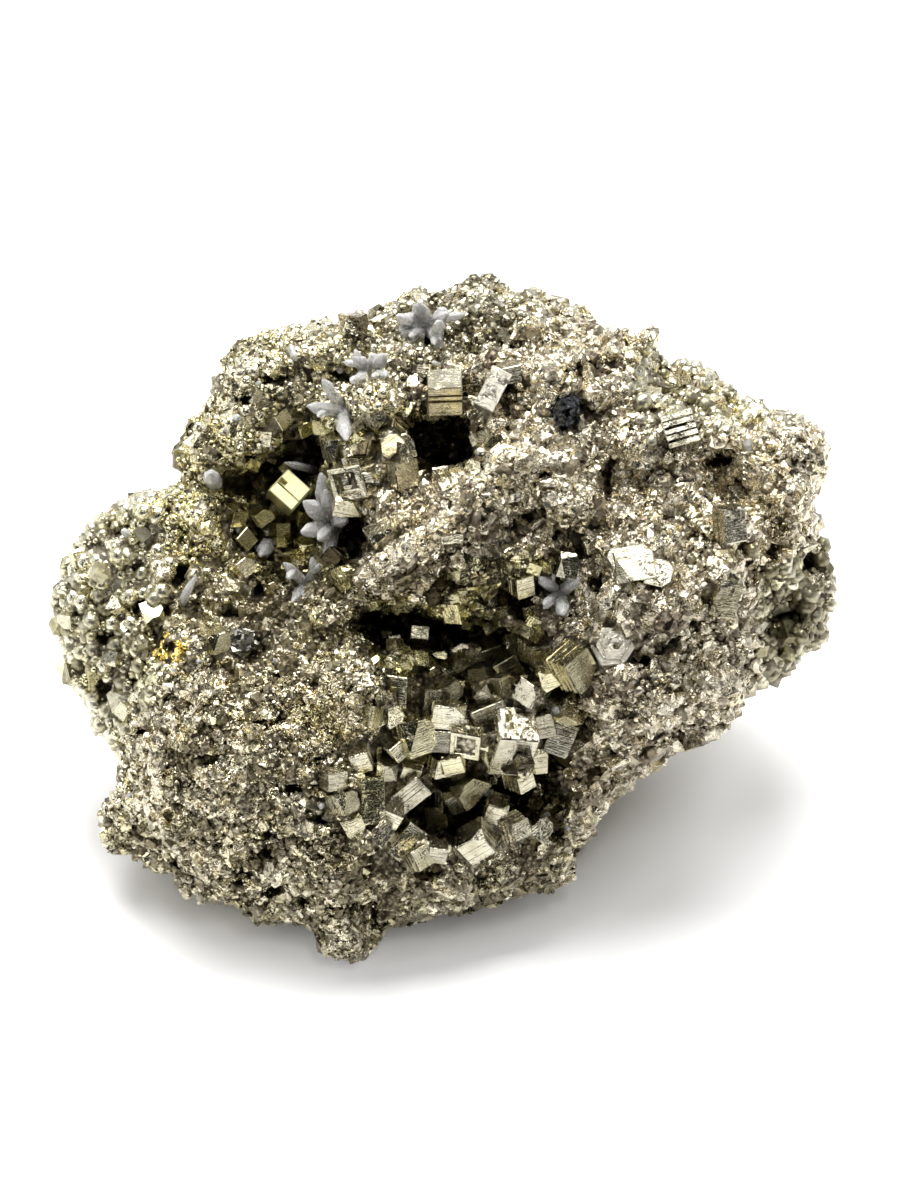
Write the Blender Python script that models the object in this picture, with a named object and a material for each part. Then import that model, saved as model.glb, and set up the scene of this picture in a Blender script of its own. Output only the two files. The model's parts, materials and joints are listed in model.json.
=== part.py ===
"""Pyrite specimen with quartz needles, standing free on its worn underside.

The whole stone is laid out in millimetres on its show face: u runs to the right,
v runs up the face and w comes out of it.  The face leans back, so the last step turns
everything into the standing frame (metres, +Z up) and sets the stone on its base.
"""
import math
import random

import bmesh
import bpy
from mathutils import Euler, Matrix, Vector
from mathutils.bvhtree import BVHTree

MM = 0.001
FACE_LEAN_DEG = 40.0        # the show face leans back from upright by this much
REST_LEVEL = -33.0          # height of the resting surface in the leaning layout
SEAM = 0.32                 # clearance between neighbouring solids

CRUST_SEAT = 0.40           # the same clearance behind a crystal crust, with room for thinning
GRAIN_SEAT = 0.416          # and round a dark grain

FAR = 80.0                  # beyond the stone in any direction
BODY_VOXEL = 0.9            # grain of the solid that joins the lumps
HOLLOW_VOXEL = 0.7          # finer grain once the hollows are cut
ROUND_DETAIL = 4            # subdivisions of a lump
SOFTEN_FACTOR = 0.5
SOFTEN_STEPS = 4
BODY_FACES = 3500
MASS_FACES = 5300
VUG_FACES = 1950
POCKET_FACES = 1150
CRUST_BACK_FACES = 260
LINING = 1.9                # thickness of the crystal crusts behind the hollows
WAVE = (9.0, 2.2, 1.0)      # size, height and turn of the cloudy pattern, coarse to fine
LUMP = (4.5, 1.3, 3.1)
BEAD = (2.6, 1.1, 2.3)
PATTERN_MIDDLE = 0.47
PATTERN_DETAIL = 2
PATTERN_SPIN = Vector((1.0, 0.7, 1.9))         # how a pattern is turned and shifted for each layer
PATTERN_SHIFT = Vector((13.0, 7.0, 5.0))

# Lumps of the pyrite mass: (u, v, w, half width, half height, half depth)
CORE_LUMPS = (
    (0, 0, -10, 34, 29, 21), (18, 4, -8, 24, 20, 19), (-18, -12, -9, 22, 20, 19),
)
LOWER_LEFT_LUMPS = (
    (-22, -17, -2, 19, 16.5, 17), (-14, -26, 0, 13, 11, 14), (-30, -8, -3, 10, 11, 14),
    (-11, -10, 2, 8.5, 8.5, 13), (-25, -28, -4, 11, 8.5, 10.5), (-34, -19, -5, 6.5, 9, 11),
    (-33, -26, -6, 6, 7, 9), (-39.4, -25, -6, 4.0, 4.1, 4.6),
    (-12.3, -38.2, 0, 4.6, 5.2, 5.6), (-17, -33, -1, 7, 5.5, 9), (-22, -33.5, -3, 6, 4.4, 8),
)
BOTTOM_RIM_LUMPS = (
    (-3, -31.2, -1, 9, 6.6, 9), (4, -30.5, -2, 8, 5.2, 9), (9.5, -29, -4, 7, 5.2, 9),
    (14.5, -25, -5, 4.6, 4.2, 8), (16.5, -21.5, -5, 3.8, 4.5, 8),
)
LEFT_BULGE_LUMPS = (
    (-41.5, 2, -9, 8, 9, 11), (-39.5, 7.5, -9, 8, 6.6, 10), (-42.5, -5.5, -9, 5.4, 6, 9),
    (-40, -11, -8, 4.8, 5.5, 8), (-37, -16, -7, 4, 6, 8), (-36, 12, -8, 6, 4.2, 9),
    (-33, 3, -3, 6, 6, 9), (-33, -5, -3, 6, 6, 10),
)
UPPER_LEFT_LUMPS = (
    (-22, 29, -6, 7.2, 7.4, 10), (-26.5, 20.5, -7, 7, 6.4, 10), (-15.5, 32.5, -7, 7, 5, 11),
    (-10, 33.6, -8, 5, 4.6, 10), (-30, 13, -6, 5.6, 6, 10), (-25, 25, -7, 6, 5, 10),
    (-15, 24, -4, 4, 6, 9),
)
TOP_LUMPS = (
    (4, 36.2, -10, 6.5, 7.4, 11), (-3.5, 34.8, -9, 6, 6.8, 10), (10, 35, -10, 6, 6.8, 11),
    (16, 32.6, -10, 6, 6.4, 11), (-8.3, 27.3, 1.5, 4.9, 4.6, 7), (-2, 30, -3, 6, 5, 10),
)
RIDGE_LUMPS = (
    (-6.5, 6.5, 4, 6.5, 4.6, 12), (-1, 9.5, 4, 7, 5.5, 12.5), (4, 13.5, 4.5, 7, 6, 12.5),
    (9.5, 18.5, 4, 7.5, 6, 11.5), (6.5, 22.5, 1, 5, 5, 11), (4, 6, 3, 8, 5, 11.5),
    (11, 8, 2, 6, 5, 12), (-9.5, 14.5, 2, 5, 5, 9), (-11, 20.5, 0, 4.6, 5, 9),
)
UPPER_MIDDLE_LUMPS = (
    (13, 28, 0, 8, 6.4, 10.5), (21, 29.5, -4, 6, 6.6, 10.5), (24, 22.5, 0, 7, 5.6, 9.5),
    (6, 31, -3, 6, 5, 10), (14.2, 14.6, 8, 6.6, 3.8, 6.5), (17, 21, 2, 6, 5, 10),
)
RIGHT_LUMPS = (
    (24, 8, 5, 6, 5, 11), (26, 2, 2, 9.5, 8, 15), (23, -8.5, 1, 10, 6.8, 14),
    (31.5, -7, -2, 6.6, 8, 12), (22, -14.5, -3, 6.6, 4.8, 10), (33, 7, -1, 6.6, 9, 12.5),
    (34.8, 21.6, -4, 4.6, 4.4, 9.5), (41, 17.5, -7, 6.4, 7, 10.5), (43.5, 20.8, -8, 5, 4.8, 9),
    (40.5, 10, -7, 6.2, 7.5, 10.5), (28.5, 15.5, 0, 6.5, 5, 10), (30, -12, -4, 6, 4, 8),
)
RIGHT_BACK_LUMPS = (
    (25, 31.4, -13, 4.0, 5.4, 7), (21.4, 32.6, -13, 3.2, 4.6, 7), (31, 28.6, -13, 4.2, 4.4, 7),
    (35.4, 26.8, -13, 3.2, 3.6, 6.5), (39.4, 24.6, -12, 3.2, 3.2, 6.5), (30, 24, -10, 8, 5, 8),
    (44, 1, -15, 5.2, 5.2, 8), (42, -3, -15, 4.6, 4.6, 7), (46.2, 4.6, -15, 3.6, 3.6, 6.5),
    (37, -4, -13, 5, 5, 8), (46.6, -1, -15, 3.0, 3.0, 6), (44.4, 10, -14, 3.2, 5, 7),
)
# Lumps of the hidden side, in the standing directions (x, back, up) about the same centre
UNDERSIDE_LUMPS = (
    (4, 12, -22, 25, 18, 12.5), (4, 23, 1, 35, 20, 20), (-14, 2, -22, 14, 14, 11),
    (24, 20, -6, 21, 16, 15), (-22, 16, -6, 17, 15, 15), (3, 18, 0, 33, 20, 20),
)


# Pyrite crystals: (u, v, w, edge, edge, edge, turn about u, about v, about w in degrees)
VUG_CRYSTALS = (
    (8.0, -15.4, 10.4, 6.4, 6.6, 6.2, 34, -14, -5), (5.2, -11.2, 10.0, 4.4, 2.8, 3.6, 22, 24, 22),
    (0.3, -11.4, 10.6, 4.2, 3.2, 3.8, 16, -10, -8), (-0.4, -14.7, 9.8, 2.8, 2.9, 3.0, 20, 6, -3),
    (3.4, -14.8, 10.4, 3.9, 3.6, 3.8, 26, -12, -12), (-3.2, -13.4, 11.0, 3.8, 3.4, 3.6, 22, 30, 28),
    (15.9, -5.8, 12.0, 4.4, 5.0, 4.6, 28, 22, 40), (11.2, -3.8, 7.4, 3.4, 3.2, 4.4, 30, 20, 12),
    (8.4, -5.2, 3.6, 3.4, 3.2, 4.6, 24, -20, 30), (2.8, -4.4, 0.8, 3.4, 2.6, 3.6, 12, 20, 15),
    (10.7, -9.2, 10.6, 3.2, 2.8, 3.0, 12, -28, -35), (12.8, -7.2, 10.8, 2.4, 2.6, 2.6, 30, 18, 14),
    (-3.7, -2.2, -1.4, 2.2, 1.7, 2.2, 20, -8, 4), (0.7, -8.6, 10.2, 2.4, 2.3, 2.4, 30, 12, 40),
    (-1.8, -9.2, 11.2, 2.2, 1.6, 2.2, 12, 20, 0), (4.2, -7.6, 10.0, 2.3, 2.2, 2.4, 35, 30, 10),
    (7.2, -8.0, 10.2, 2.5, 2.4, 2.4, 18, 40, 25), (-1.7, -6.2, 7.8, 2.1, 2.1, 3.2, 30, 10, 30),
    (5.4, -3.6, 0.2, 2.6, 2.4, 3.4, 40, 10, 20), (-7.5, -2.0, -2.6, 2.4, 2.2, 3.0, 25, 35, 15),
    (-4.6, -21.2, 8.4, 5.2, 3.1, 4.4, 20, -15, 38), (-9.6, -22.2, 12.0, 3.2, 5.8, 3.4, 10, 25, 6),
    (-0.5, -24.6, 0.2, 2.9, 2.8, 4.0, 6, -20, 8), (-5.4, -27.2, 8.6, 2.2, 4.8, 4.0, 2, 20, -38),
    (-14.0, -19.6, 14.0, 2.8, 2.3, 3.0, 20, 30, 10), (-12.6, -22.6, 13.8, 2.9, 2.7, 3.0, 12, 38, 24),
    (2.6, -20.9, 3.8, 4.6, 3.4, 4.6, 30, 20, 38), (8.6, -26.0, 5.4, 3.4, 3.2, 3.8, 20, 25, 25),
    (3.9, -27.6, 6.6, 3.8, 3.4, 4.0, 30, -20, 30), (-0.9, -28.8, 10.4, 2.3, 2.1, 2.6, 25, 4, -8),
    (-3.4, -29.6, 11.0, 2.7, 2.6, 2.8, 10, 30, 30), (11.6, -26.0, 4.4, 2.8, 2.6, 3.2, 26, 14, 52),
    (14.0, -14.3, 7.0, 3.4, 4.4, 4.0, 10, 20, -20), (-4.4, -18.2, 9.0, 3.4, 2.4, 3.6, 32, 12, -14),
    (-1.0, -17.9, 8.8, 2.7, 2.5, 3.4, 28, 38, 8), (-7.4, -18.6, 11.0, 2.7, 2.3, 3.0, 14, 28, -10),
    (9.2, -19.9, 7.0, 2.5, 2.3, 3.4, 30, 30, 30), (-8.4, -26.4, 11.6, 2.8, 2.6, 3.0, 24, 16, 48),
)
POCKET_CRYSTALS = (
    (-20.0, 15.9, -1.8, 3.9, 3.9, 4.4, 14, -10, -42), (-17.4, 9.0, -3.4, 2.6, 2.4, 2.8, 30, 20, 15),
    (-20.9, 10.9, -4.4, 1.9, 3.2, 2.6, 10, 20, 4), (-23.2, 13.2, -3.6, 2.4, 1.8, 2.6, 20, 10, 35),
    (-18.2, 13.4, -4.6, 1.9, 1.8, 2.4, 35, 25, 10), (-26.6, 13.2, 0.0, 2.3, 2.2, 2.6, 30, 40, 5),
    (-25.4, 6.6, 2.6, 2.4, 2.2, 2.4, 14, 30, 40), (-21.8, 4.2, 2.4, 2.4, 2.0, 2.4, 24, 8, 24),
    (-25.6, 10.2, -0.6, 2.2, 2.4, 2.6, 28, 22, 50), (-19.4, 7.6, -1.8, 2.2, 2.1, 2.6, 16, 36, 30),
    (-17.6, 24.2, -0.6, 2.4, 2.0, 2.8, 30, 12, 20), (-21.0, 25.2, 0.2, 2.2, 2.2, 2.8, 20, 30, 42),
)
OUTER_CRYSTALS = (
    (0.0, 28.5, 6.8, 4.4, 4.2, 4.4, 36, 0, 2), (5.7, 28.6, 8.0, 2.7, 5.4, 3.4, -6, 26, -28),
    (8.0, 31.0, 7.6, 2.4, 2.2, 3.0, 20, 14, 12), (-7.0, 23.0, 6.4, 3.9, 3.2, 3.8, 34, -24, 34),
    (-11.3, 17.7, 9.4, 4.6, 4.1, 4.2, 14, -26, 10), (-5.8, 18.3, 7.6, 3.6, 3.4, 3.8, 14, 36, 15),
    (-5.4, 21.8, 6.2, 2.3, 3.2, 3.4, 8, 20, 16), (-12.2, 14.6, 8.8, 3.4, 2.4, 3.6, 30, 10, -10),
    (29.2, 23.4, 7.0, 4.2, 4.2, 4.4, 22, -12, -20), (-7.6, 10.2, 12.2, 3.5, 3.4, 3.6, 20, 20, 30),
    (-13.6, 21.6, 6.4, 2.9, 3.2, 3.4, 24, 18, 20), (21.0, -3.4, 12.2, 6.2, 6.0, 3.6, 10, 12, 28),
    (9.4, 4.6, 11.6, 2.4, 2.8, 3.0, 30, 22, 18), (15.0, 7.0, 12.6, 2.4, 3.2, 3.0, 8, 20, -6),
    (0.8, 9.8, 16.2, 2.8, 1.4, 2.6, 24, -10, 6), (35.4, 12.0, 11.2, 3.0, 4.4, 3.4, 12, 24, 10),
    (34.4, 3.0, 11.6, 3.2, 4.8, 3.4, 10, 30, -8), (-28.6, -2.6, 9.2, 2.8, 2.5, 3.0, 20, 30, 20),
)
# Small rounded crystals seated on the skin: (u, v, width)
KNOBS = (
    (-38.0, 13.2, 2.2), (-43.0, 11.6, 2.6), (-41.6, 8.8, 2.2), (-37.6, 7.8, 2.6), (-43.6, 5.6, 2.0),
    (-47.6, 2.0, 2.2), (-45.4, -2.6, 2.4), (-41.8, -3.4, 2.8), (-40.0, -8.0, 2.4), (-44.6, -8.0, 2.2),
    (-33.6, 16.0, 2.2), (-30.6, 22.0, 2.2), (-26.2, 30.6, 2.2), (-20.0, 34.0, 2.4), (-12.2, 36.0, 2.6),
    (45.0, -1.6, 3.0), (47.0, 4.2, 3.0), (43.8, 4.0, 2.6), (25.4, 34.6, 2.8), (31.0, 30.6, 2.8),
    (36.0, 28.0, 2.4), (44.6, 23.4, 2.6), (38.0, 8.6, 2.4), (28.6, 11.4, 2.8), (31.0, -9.6, 2.6),
)
KNOB_SINK = 0.28            # share of a knob's width its centre lies under the skin
KNOB_SHAPE = (1.0, 0.92, 1.05)
KNOB_TURNS = (8.0, 42.0)
KNOB_SEED = 41

# Quartz needles, one cluster per row: root and tip (u, v, w) and thickness of each needle
QUARTZ_CLUSTERS = {
    "quartz_top_cluster": (
        ((-2.4, 37.0, -3.0), (-5.9, 38.0, 2.2), 1.0), ((-2.4, 37.0, -3.0), (-3.2, 39.9, 2.6), 1.0),
        ((-2.2, 37.0, -3.0), (0.4, 38.6, 2.8), 0.9), ((-2.2, 36.8, -3.0), (-0.4, 35.3, 3.6), 0.9),
        ((-2.6, 36.8, -3.0), (-4.4, 35.8, 3.2), 0.8),
    ),
    "quartz_upper_tuft": (
        ((-9.3, 31.2, 2.4), (-11.5, 33.0, 7.0), 0.8), ((-9.3, 31.2, 2.4), (-7.8, 33.2, 7.0), 0.9),
        ((-9.3, 31.0, 2.4), (-11.2, 30.0, 7.8), 0.8), ((-9.3, 31.0, 2.4), (-7.3, 30.6, 8.0), 0.7),
    ),
    "quartz_wall_needles": (
        ((-12.9, 26.6, 1.8), (-15.3, 30.1, 7.4), 0.7), ((-12.9, 26.2, 1.8), (-17.2, 26.7, 8.6), 0.85),
        ((-12.9, 26.0, 1.8), (-12.2, 22.4, 8.4), 1.1),
    ),
    "quartz_pocket_column": (
        ((-14.0, 11.6, -1.0), (-15.6, 18.4, 6.4), 1.2), ((-14.0, 12.0, -1.0), (-17.6, 14.8, 7.6), 1.0),
        ((-13.8, 12.0, -1.0), (-17.9, 11.0, 7.6), 0.9), ((-14.0, 12.4, -1.0), (-12.4, 12.6, 9.6), 1.0),
        ((-14.0, 12.0, -1.0), (-14.8, 7.2, 7.0), 0.85),
    ),
    "quartz_pocket_star": (
        ((-17.4, 4.4, -0.4), (-20.2, 7.2, 6.8), 0.75), ((-17.4, 4.4, -0.4), (-15.6, 7.0, 7.4), 0.7),
        ((-17.4, 4.4, -0.4), (-19.2, 2.2, 7.0), 0.75), ((-17.3, 4.4, -0.4), (-14.4, 3.4, 6.8), 0.8),
    ),
    "quartz_cave_needle": (((-16.2, 18.9, -6.0), (-20.2, 19.8, 1.6), 0.5),),
    "quartz_left_needle": (((-33.3, 1.6, 3.4), (-31.1, 5.7, 9.0), 0.55),),
    "quartz_ridge_star": (
        ((14.2, 3.4, 8.0), (11.8, 5.4, 13.4), 0.8), ((14.2, 3.4, 8.0), (16.7, 5.2, 13.4), 0.9),
        ((14.2, 3.3, 8.0), (12.3, 1.9, 13.4), 0.7), ((14.2, 3.3, 8.0), (14.8, 0.7, 13.4), 0.8),
    ),
    "quartz_vug_point": (((10.4, -0.9, 0.6), (9.2, -3.1, 7.0), 0.8),),
    "quartz_rim_point": (((-29.1, 17.2, -1.0), (-29.5, 18.4, 4.6), 1.0),),
    "quartz_pocket_point": (((-22.6, 9.4, -6.4), (-23.3, 8.0, -0.2), 1.0),),
}
QUARTZ_POINT = 1.5          # height of a needle's point over its thickness
NEEDLE_SIDES = 6
SEAT_WIDER = 1.2            # a needle's seat: how much wider and longer it is, over the clearance
SEAT_LONGER = 0.2
# Dark zinc sulphide grains: (u, v, w, half width, half height, half depth, turn in degrees)
DARK_GRAINS = {
    "dark_grain_upper": (15.3, 25.9, 9.6, 1.6, 1.8, 2.0, 20),
    "dark_grain_left": (-25.4, -2.7, 8.2, 2.0, 1.5, 2.0, -25),
}
# Broken faces of the hidden side: a point of each and the way it looks (x, back, up)
FRACTURES = (
    ((4, 40, 4), (0.06, 0.99, 0.10)), ((-34, 28, 0), (-0.55, 0.82, -0.15)),
    ((38, 30, 0), (0.62, 0.76, -0.18)), ((0, 27, -23), (0.04, 0.74, -0.67)),
    ((30, 8, -27), (0.60, 0.0, -0.80)), ((-28, 14, -28), (-0.50, 0.30, -0.81)),
    ((-12, 36.5, 23.5), (-0.30, 0.80, 0.52)), ((22, 37, 12), (0.42, 0.84, 0.34)),
)
# Hollows: the big vug under the ridge, the left pocket and the smaller gaps
VUG_HOLLOWS = (
    (-6, -0.6, 7, 6.2, 3.0, 13), (0.5, -2.2, 7, 6.2, 3.6, 12.5), (6, -4, 9, 6.5, 4.5, 10),
    (3, -8, 19, 9, 6, 11), (12, -6, 18, 5.5, 6, 10), (4, -17, 24, 10, 7, 14),
    (3, -23.6, 7, 7.8, 3.1, 12.5), (10, -21, 7, 4.6, 4.0, 11.5), (-5, -24.2, 10, 5.0, 3.4, 9.5),
    (12.4, -16.5, 9, 2.0, 3.8, 9), (-10, -20.5, 19, 5.5, 3.2, 8.5), (-2, -27.5, 17, 6, 2.4, 8.5),
)
VUG_SHELF = ((0, -15, 12, 9, 6, 7), (7, -14, 13, 7, 6, 8))
POCKET_HOLLOWS = (
    (-20.5, 12.5, 7, 7.6, 7.0, 13), (-20, 18.8, 3, 5.8, 2.4, 11), (-25.6, 17.4, 3, 3, 1.5, 8),
    (-18.5, 24.8, 6, 4.4, 2.6, 8), (-11.4, 10.8, 8, 2.2, 4.3, 12.5), (-20, 5.6, 10, 5.4, 3.2, 9),
)
OTHER_HOLLOWS = (
    (-1, 22, 6, 4.4, 3.8, 11.5), (-4.6, 22.6, 6, 2.5, 3.0, 9), (2.6, 21.4, 6, 2.2, 3, 9),
    (-33.4, 5.2, 4, 1.6, 1.9, 7), (27.6, -3.0, 17, 1.9, 1.5, 8), (24.8, -4.6, 17, 1.8, 1.1, 7),
    (45.6, 7.8, -8, 1.9, 2.0, 5), (43.4, 0.4, -7, 2.3, 1.6, 5), (34.4, 20.2, 5, 2.4, 1.2, 6),
    (33.2, 17.4, 8, 1.1, 2.2, 7), (-22, -29.6, 10, 3.6, 0.9, 5), (-37.6, -13, 1, 1.6, 1.1, 4),
)


def clear_scene():
    """Start from an empty scene."""
    for ob in list(bpy.data.objects):
        bpy.data.objects.remove(ob, do_unlink=True)


def object_from(bm, name):
    """Turn a bmesh into a linked object."""
    mesh = bpy.data.meshes.new(name)
    bm.to_mesh(mesh)
    bm.free()
    ob = bpy.data.objects.new(name, mesh)
    bpy.context.scene.collection.objects.link(ob)
    return ob


def settle_modifiers(ob):
    """Turn the object's modifiers into plain mesh."""
    depsgraph = bpy.context.evaluated_depsgraph_get()
    settled = bpy.data.meshes.new_from_object(ob.evaluated_get(depsgraph))
    ob.modifiers.clear()
    former = ob.data
    ob.data = settled
    bpy.data.meshes.remove(former)


def standing_to_face():
    """Directions of the standing frame written in the face frame."""
    lean = math.radians(FACE_LEAN_DEG)
    return Matrix((
        (1.0, 0.0, 0.0, 0.0),
        (0.0, math.sin(lean), math.cos(lean), 0.0),
        (0.0, -math.cos(lean), math.sin(lean), 0.0),
        (0.0, 0.0, 0.0, 1.0),
    ))


def add_lumps(bm, lumps, grow=0.0, placed=Matrix()):
    """Add one rounded lump for every row of the table."""
    for u, v, w, half_u, half_v, half_w in lumps:
        size = Matrix.Diagonal((half_u + grow, half_v + grow, half_w + grow, 1.0))
        where = placed @ Matrix.Translation((u, v, w)) @ size
        bmesh.ops.create_icosphere(bm, subdivisions=ROUND_DETAIL, radius=1.0, matrix=where)


def fused_lumps(name, groups, voxel, grow=0.0, underside=()):
    """Join overlapping lumps into one smooth body."""
    bm = bmesh.new()
    for lumps in groups:
        add_lumps(bm, lumps, grow)
    if underside:
        add_lumps(bm, underside, grow, standing_to_face())
    ob = object_from(bm, name)
    remesh = ob.modifiers.new("fuse", 'REMESH')
    remesh.mode = 'VOXEL'
    remesh.voxel_size = voxel
    smooth = ob.modifiers.new("soften", 'SMOOTH')
    smooth.factor = SOFTEN_FACTOR
    smooth.iterations = SOFTEN_STEPS
    settle_modifiers(ob)
    return ob


def boolean(ob, tool, operation, keep_tool=False):
    """Cut, join or trim ob with the tool solid."""
    step = ob.modifiers.new("boolean", 'BOOLEAN')
    step.operation = operation
    step.solver = 'EXACT'
    step.object = tool
    settle_modifiers(ob)
    if not keep_tool:
        bpy.data.objects.remove(tool, do_unlink=True)


def roughen(ob, layer):
    """Push the surface in and out by a cloudy pattern."""
    size, height, turn = layer
    pattern = bpy.data.textures.new("clouds", 'CLOUDS')
    pattern.noise_scale = size
    pattern.noise_depth = PATTERN_DETAIL
    guide = bpy.data.objects.new("pattern_place", None)
    guide.rotation_euler = Euler(PATTERN_SPIN * turn)
    guide.location = PATTERN_SHIFT * turn
    bpy.context.scene.collection.objects.link(guide)
    step = ob.modifiers.new("roughen", 'DISPLACE')
    step.texture = pattern
    step.texture_coords = 'OBJECT'
    step.texture_coords_object = guide
    step.strength = height
    step.mid_level = PATTERN_MIDDLE
    settle_modifiers(ob)
    bpy.data.objects.remove(guide, do_unlink=True)


def thin_out(ob, faces):
    """Reduce the mesh to about the given number of triangles."""
    now = sum(len(face.vertices) - 2 for face in ob.data.polygons)
    step = ob.modifiers.new("thin", 'DECIMATE')
    step.ratio = min(1.0, faces / now)
    step.use_collapse_triangulate = True
    settle_modifiers(ob)


def break_face(body, place, facing):
    """Break the stone off along a plane of the hidden side."""
    turn = Vector(facing).to_track_quat('Z', 'Y').to_matrix().to_4x4()
    away = Matrix.Translation((0.0, 0.0, FAR))
    size = Matrix.Diagonal((FAR * 2.0, FAR * 2.0, FAR * 2.0, 1.0))
    bm = bmesh.new()
    where = standing_to_face() @ Matrix.Translation(place) @ turn @ away @ size
    bmesh.ops.create_cube(bm, size=1.0, matrix=where)
    boolean(body, object_from(bm, "fracture"), 'DIFFERENCE')


def make_stone_body():
    """The whole pyrite mass with its hollows, before crystals are added."""
    groups = (
        CORE_LUMPS, LOWER_LEFT_LUMPS, BOTTOM_RIM_LUMPS, LEFT_BULGE_LUMPS, UPPER_LEFT_LUMPS,
        TOP_LUMPS, RIDGE_LUMPS, UPPER_MIDDLE_LUMPS, RIGHT_LUMPS, RIGHT_BACK_LUMPS,
    )
    body = fused_lumps("stone_body", groups, BODY_VOXEL, underside=UNDERSIDE_LUMPS)
    for place, facing in FRACTURES:
        break_face(body, place, facing)
    roughen(body, WAVE)
    roughen(body, LUMP)
    hollows = fused_lumps("hollows", (VUG_HOLLOWS, POCKET_HOLLOWS, OTHER_HOLLOWS), HOLLOW_VOXEL)
    boolean(body, hollows, 'DIFFERENCE')
    remesh = body.modifiers.new("close_up", 'REMESH')
    remesh.mode = 'VOXEL'
    remesh.voxel_size = HOLLOW_VOXEL
    settle_modifiers(body)
    roughen(body, BEAD)
    thin_out(body, BODY_FACES)
    return body


def add_crystal(bm, u, v, w, edges, turns, grow=0.0):
    """Add one cube-like crystal."""
    size = Matrix.Diagonal([edge + 2.0 * grow for edge in edges] + [1.0])
    turn = Euler([math.radians(angle) for angle in turns]).to_matrix().to_4x4()
    where = Matrix.Translation((u, v, w)) @ turn @ size
    bmesh.ops.create_cube(bm, size=1.0, matrix=where)


def grow_crystals(body, crystals):
    """Fuse the crystals of one table onto the body."""
    for u, v, w, edge_a, edge_b, edge_c, turn_u, turn_v, turn_w in crystals:
        bm = bmesh.new()
        add_crystal(bm, u, v, w, (edge_a, edge_b, edge_c), (turn_u, turn_v, turn_w))
        boolean(body, object_from(bm, "crystal"), 'UNION')


def skin_of(body):
    """A search tree of the body's surface."""
    bm = bmesh.new()
    bm.from_mesh(body.data)
    tree = BVHTree.FromBMesh(bm)
    bm.free()
    return tree


def grow_knobs(body):
    """Fuse small blunt crystals onto the skin, each seated where it stands."""
    rng = random.Random(KNOB_SEED)
    skin = skin_of(body)
    for u, v, width in KNOBS:
        place, normal, _, _ = skin.ray_cast(Vector((u, v, FAR)), Vector((0.0, 0.0, -1.0)))
        centre = place - normal * width * KNOB_SINK
        turns = [rng.uniform(*KNOB_TURNS) for _ in range(3)]
        edges = [width * share for share in KNOB_SHAPE]
        bm = bmesh.new()
        add_crystal(bm, centre.x, centre.y, centre.z, edges, turns)
        boolean(body, object_from(bm, "knob"), 'UNION')


def largest_piece(ob):
    """Keep only the biggest connected piece of the mesh."""
    bm = bmesh.new()
    bm.from_mesh(ob.data)
    waiting = set(bm.faces)
    pieces = []
    while waiting:
        piece = set()
        edge_of_search = [next(iter(waiting))]
        while edge_of_search:
            face = edge_of_search.pop()
            if face in piece:
                continue
            piece.add(face)
            for edge in face.edges:
                edge_of_search.extend(other for other in edge.link_faces if other not in piece)
        pieces.append(piece)
        waiting -= piece
    pieces.sort(key=len)
    crumbs = [face for piece in pieces[:-1] for face in piece]
    bmesh.ops.delete(bm, geom=crumbs, context='FACES')
    bm.to_mesh(ob.data)
    bm.free()


def copy_of(ob, name):
    """A second object with its own mesh."""
    twin = bpy.data.objects.new(name, ob.data.copy())
    bpy.context.scene.collection.objects.link(twin)
    return twin


def hollow_crust(body, hollows, name):
    """The crystal crust of one hollow, parted from the stone body by a fine seam."""
    inside = fused_lumps("crust_reach", (hollows,), HOLLOW_VOXEL, grow=LINING)
    thin_out(inside, CRUST_BACK_FACES)
    outside = copy_of(inside, "crust_seat")
    wider = outside.modifiers.new("wider", 'DISPLACE')
    wider.direction = 'NORMAL'
    wider.mid_level = 0.0
    wider.strength = CRUST_SEAT
    settle_modifiers(outside)
    crust = copy_of(body, name)
    boolean(crust, inside, 'INTERSECT')
    boolean(body, outside, 'DIFFERENCE')
    largest_piece(crust)
    return crust


def add_needle(bm, root, tip, radius, grow=0.0):
    """Add one six-sided needle with a pointed end."""
    root = Vector(root)
    tip = Vector(tip)
    along = (tip - root).normalized()
    thick = radius + grow * SEAT_WIDER
    point = thick * QUARTZ_POINT
    start = root - along * grow
    shoulder = tip - along * (radius * QUARTZ_POINT - grow * SEAT_LONGER)
    turn = along.to_track_quat('Z', 'Y')
    rings = []
    for middle in (start, shoulder):
        ring = []
        for side in range(NEEDLE_SIDES):
            angle = math.tau * side / NEEDLE_SIDES
            spoke = turn @ Vector((thick * math.cos(angle), thick * math.sin(angle), 0.0))
            ring.append(bm.verts.new(middle + spoke))
        rings.append(ring)
    top = bm.verts.new(shoulder + along * point)
    bm.faces.new(list(reversed(rings[0])))
    for side in range(NEEDLE_SIDES):
        following = (side + 1) % NEEDLE_SIDES
        bm.faces.new((rings[0][side], rings[0][following], rings[1][following], rings[1][side]))
        bm.faces.new((rings[1][side], rings[1][following], top))


def make_quartz(name, needles, hosts):
    """One quartz cluster, with a seat for every needle in the pyrite it stands on."""
    cluster = None
    for root, tip, radius in needles:
        bm = bmesh.new()
        add_needle(bm, root, tip, radius)
        needle = object_from(bm, name)
        if cluster is None:
            cluster = needle
        else:
            boolean(cluster, needle, 'UNION')
    for host in hosts:
        for root, tip, radius in needles:
            bm = bmesh.new()
            add_needle(bm, root, tip, radius, SEAM)
            boolean(host, object_from(bm, "seat"), 'DIFFERENCE')
    return cluster


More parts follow.
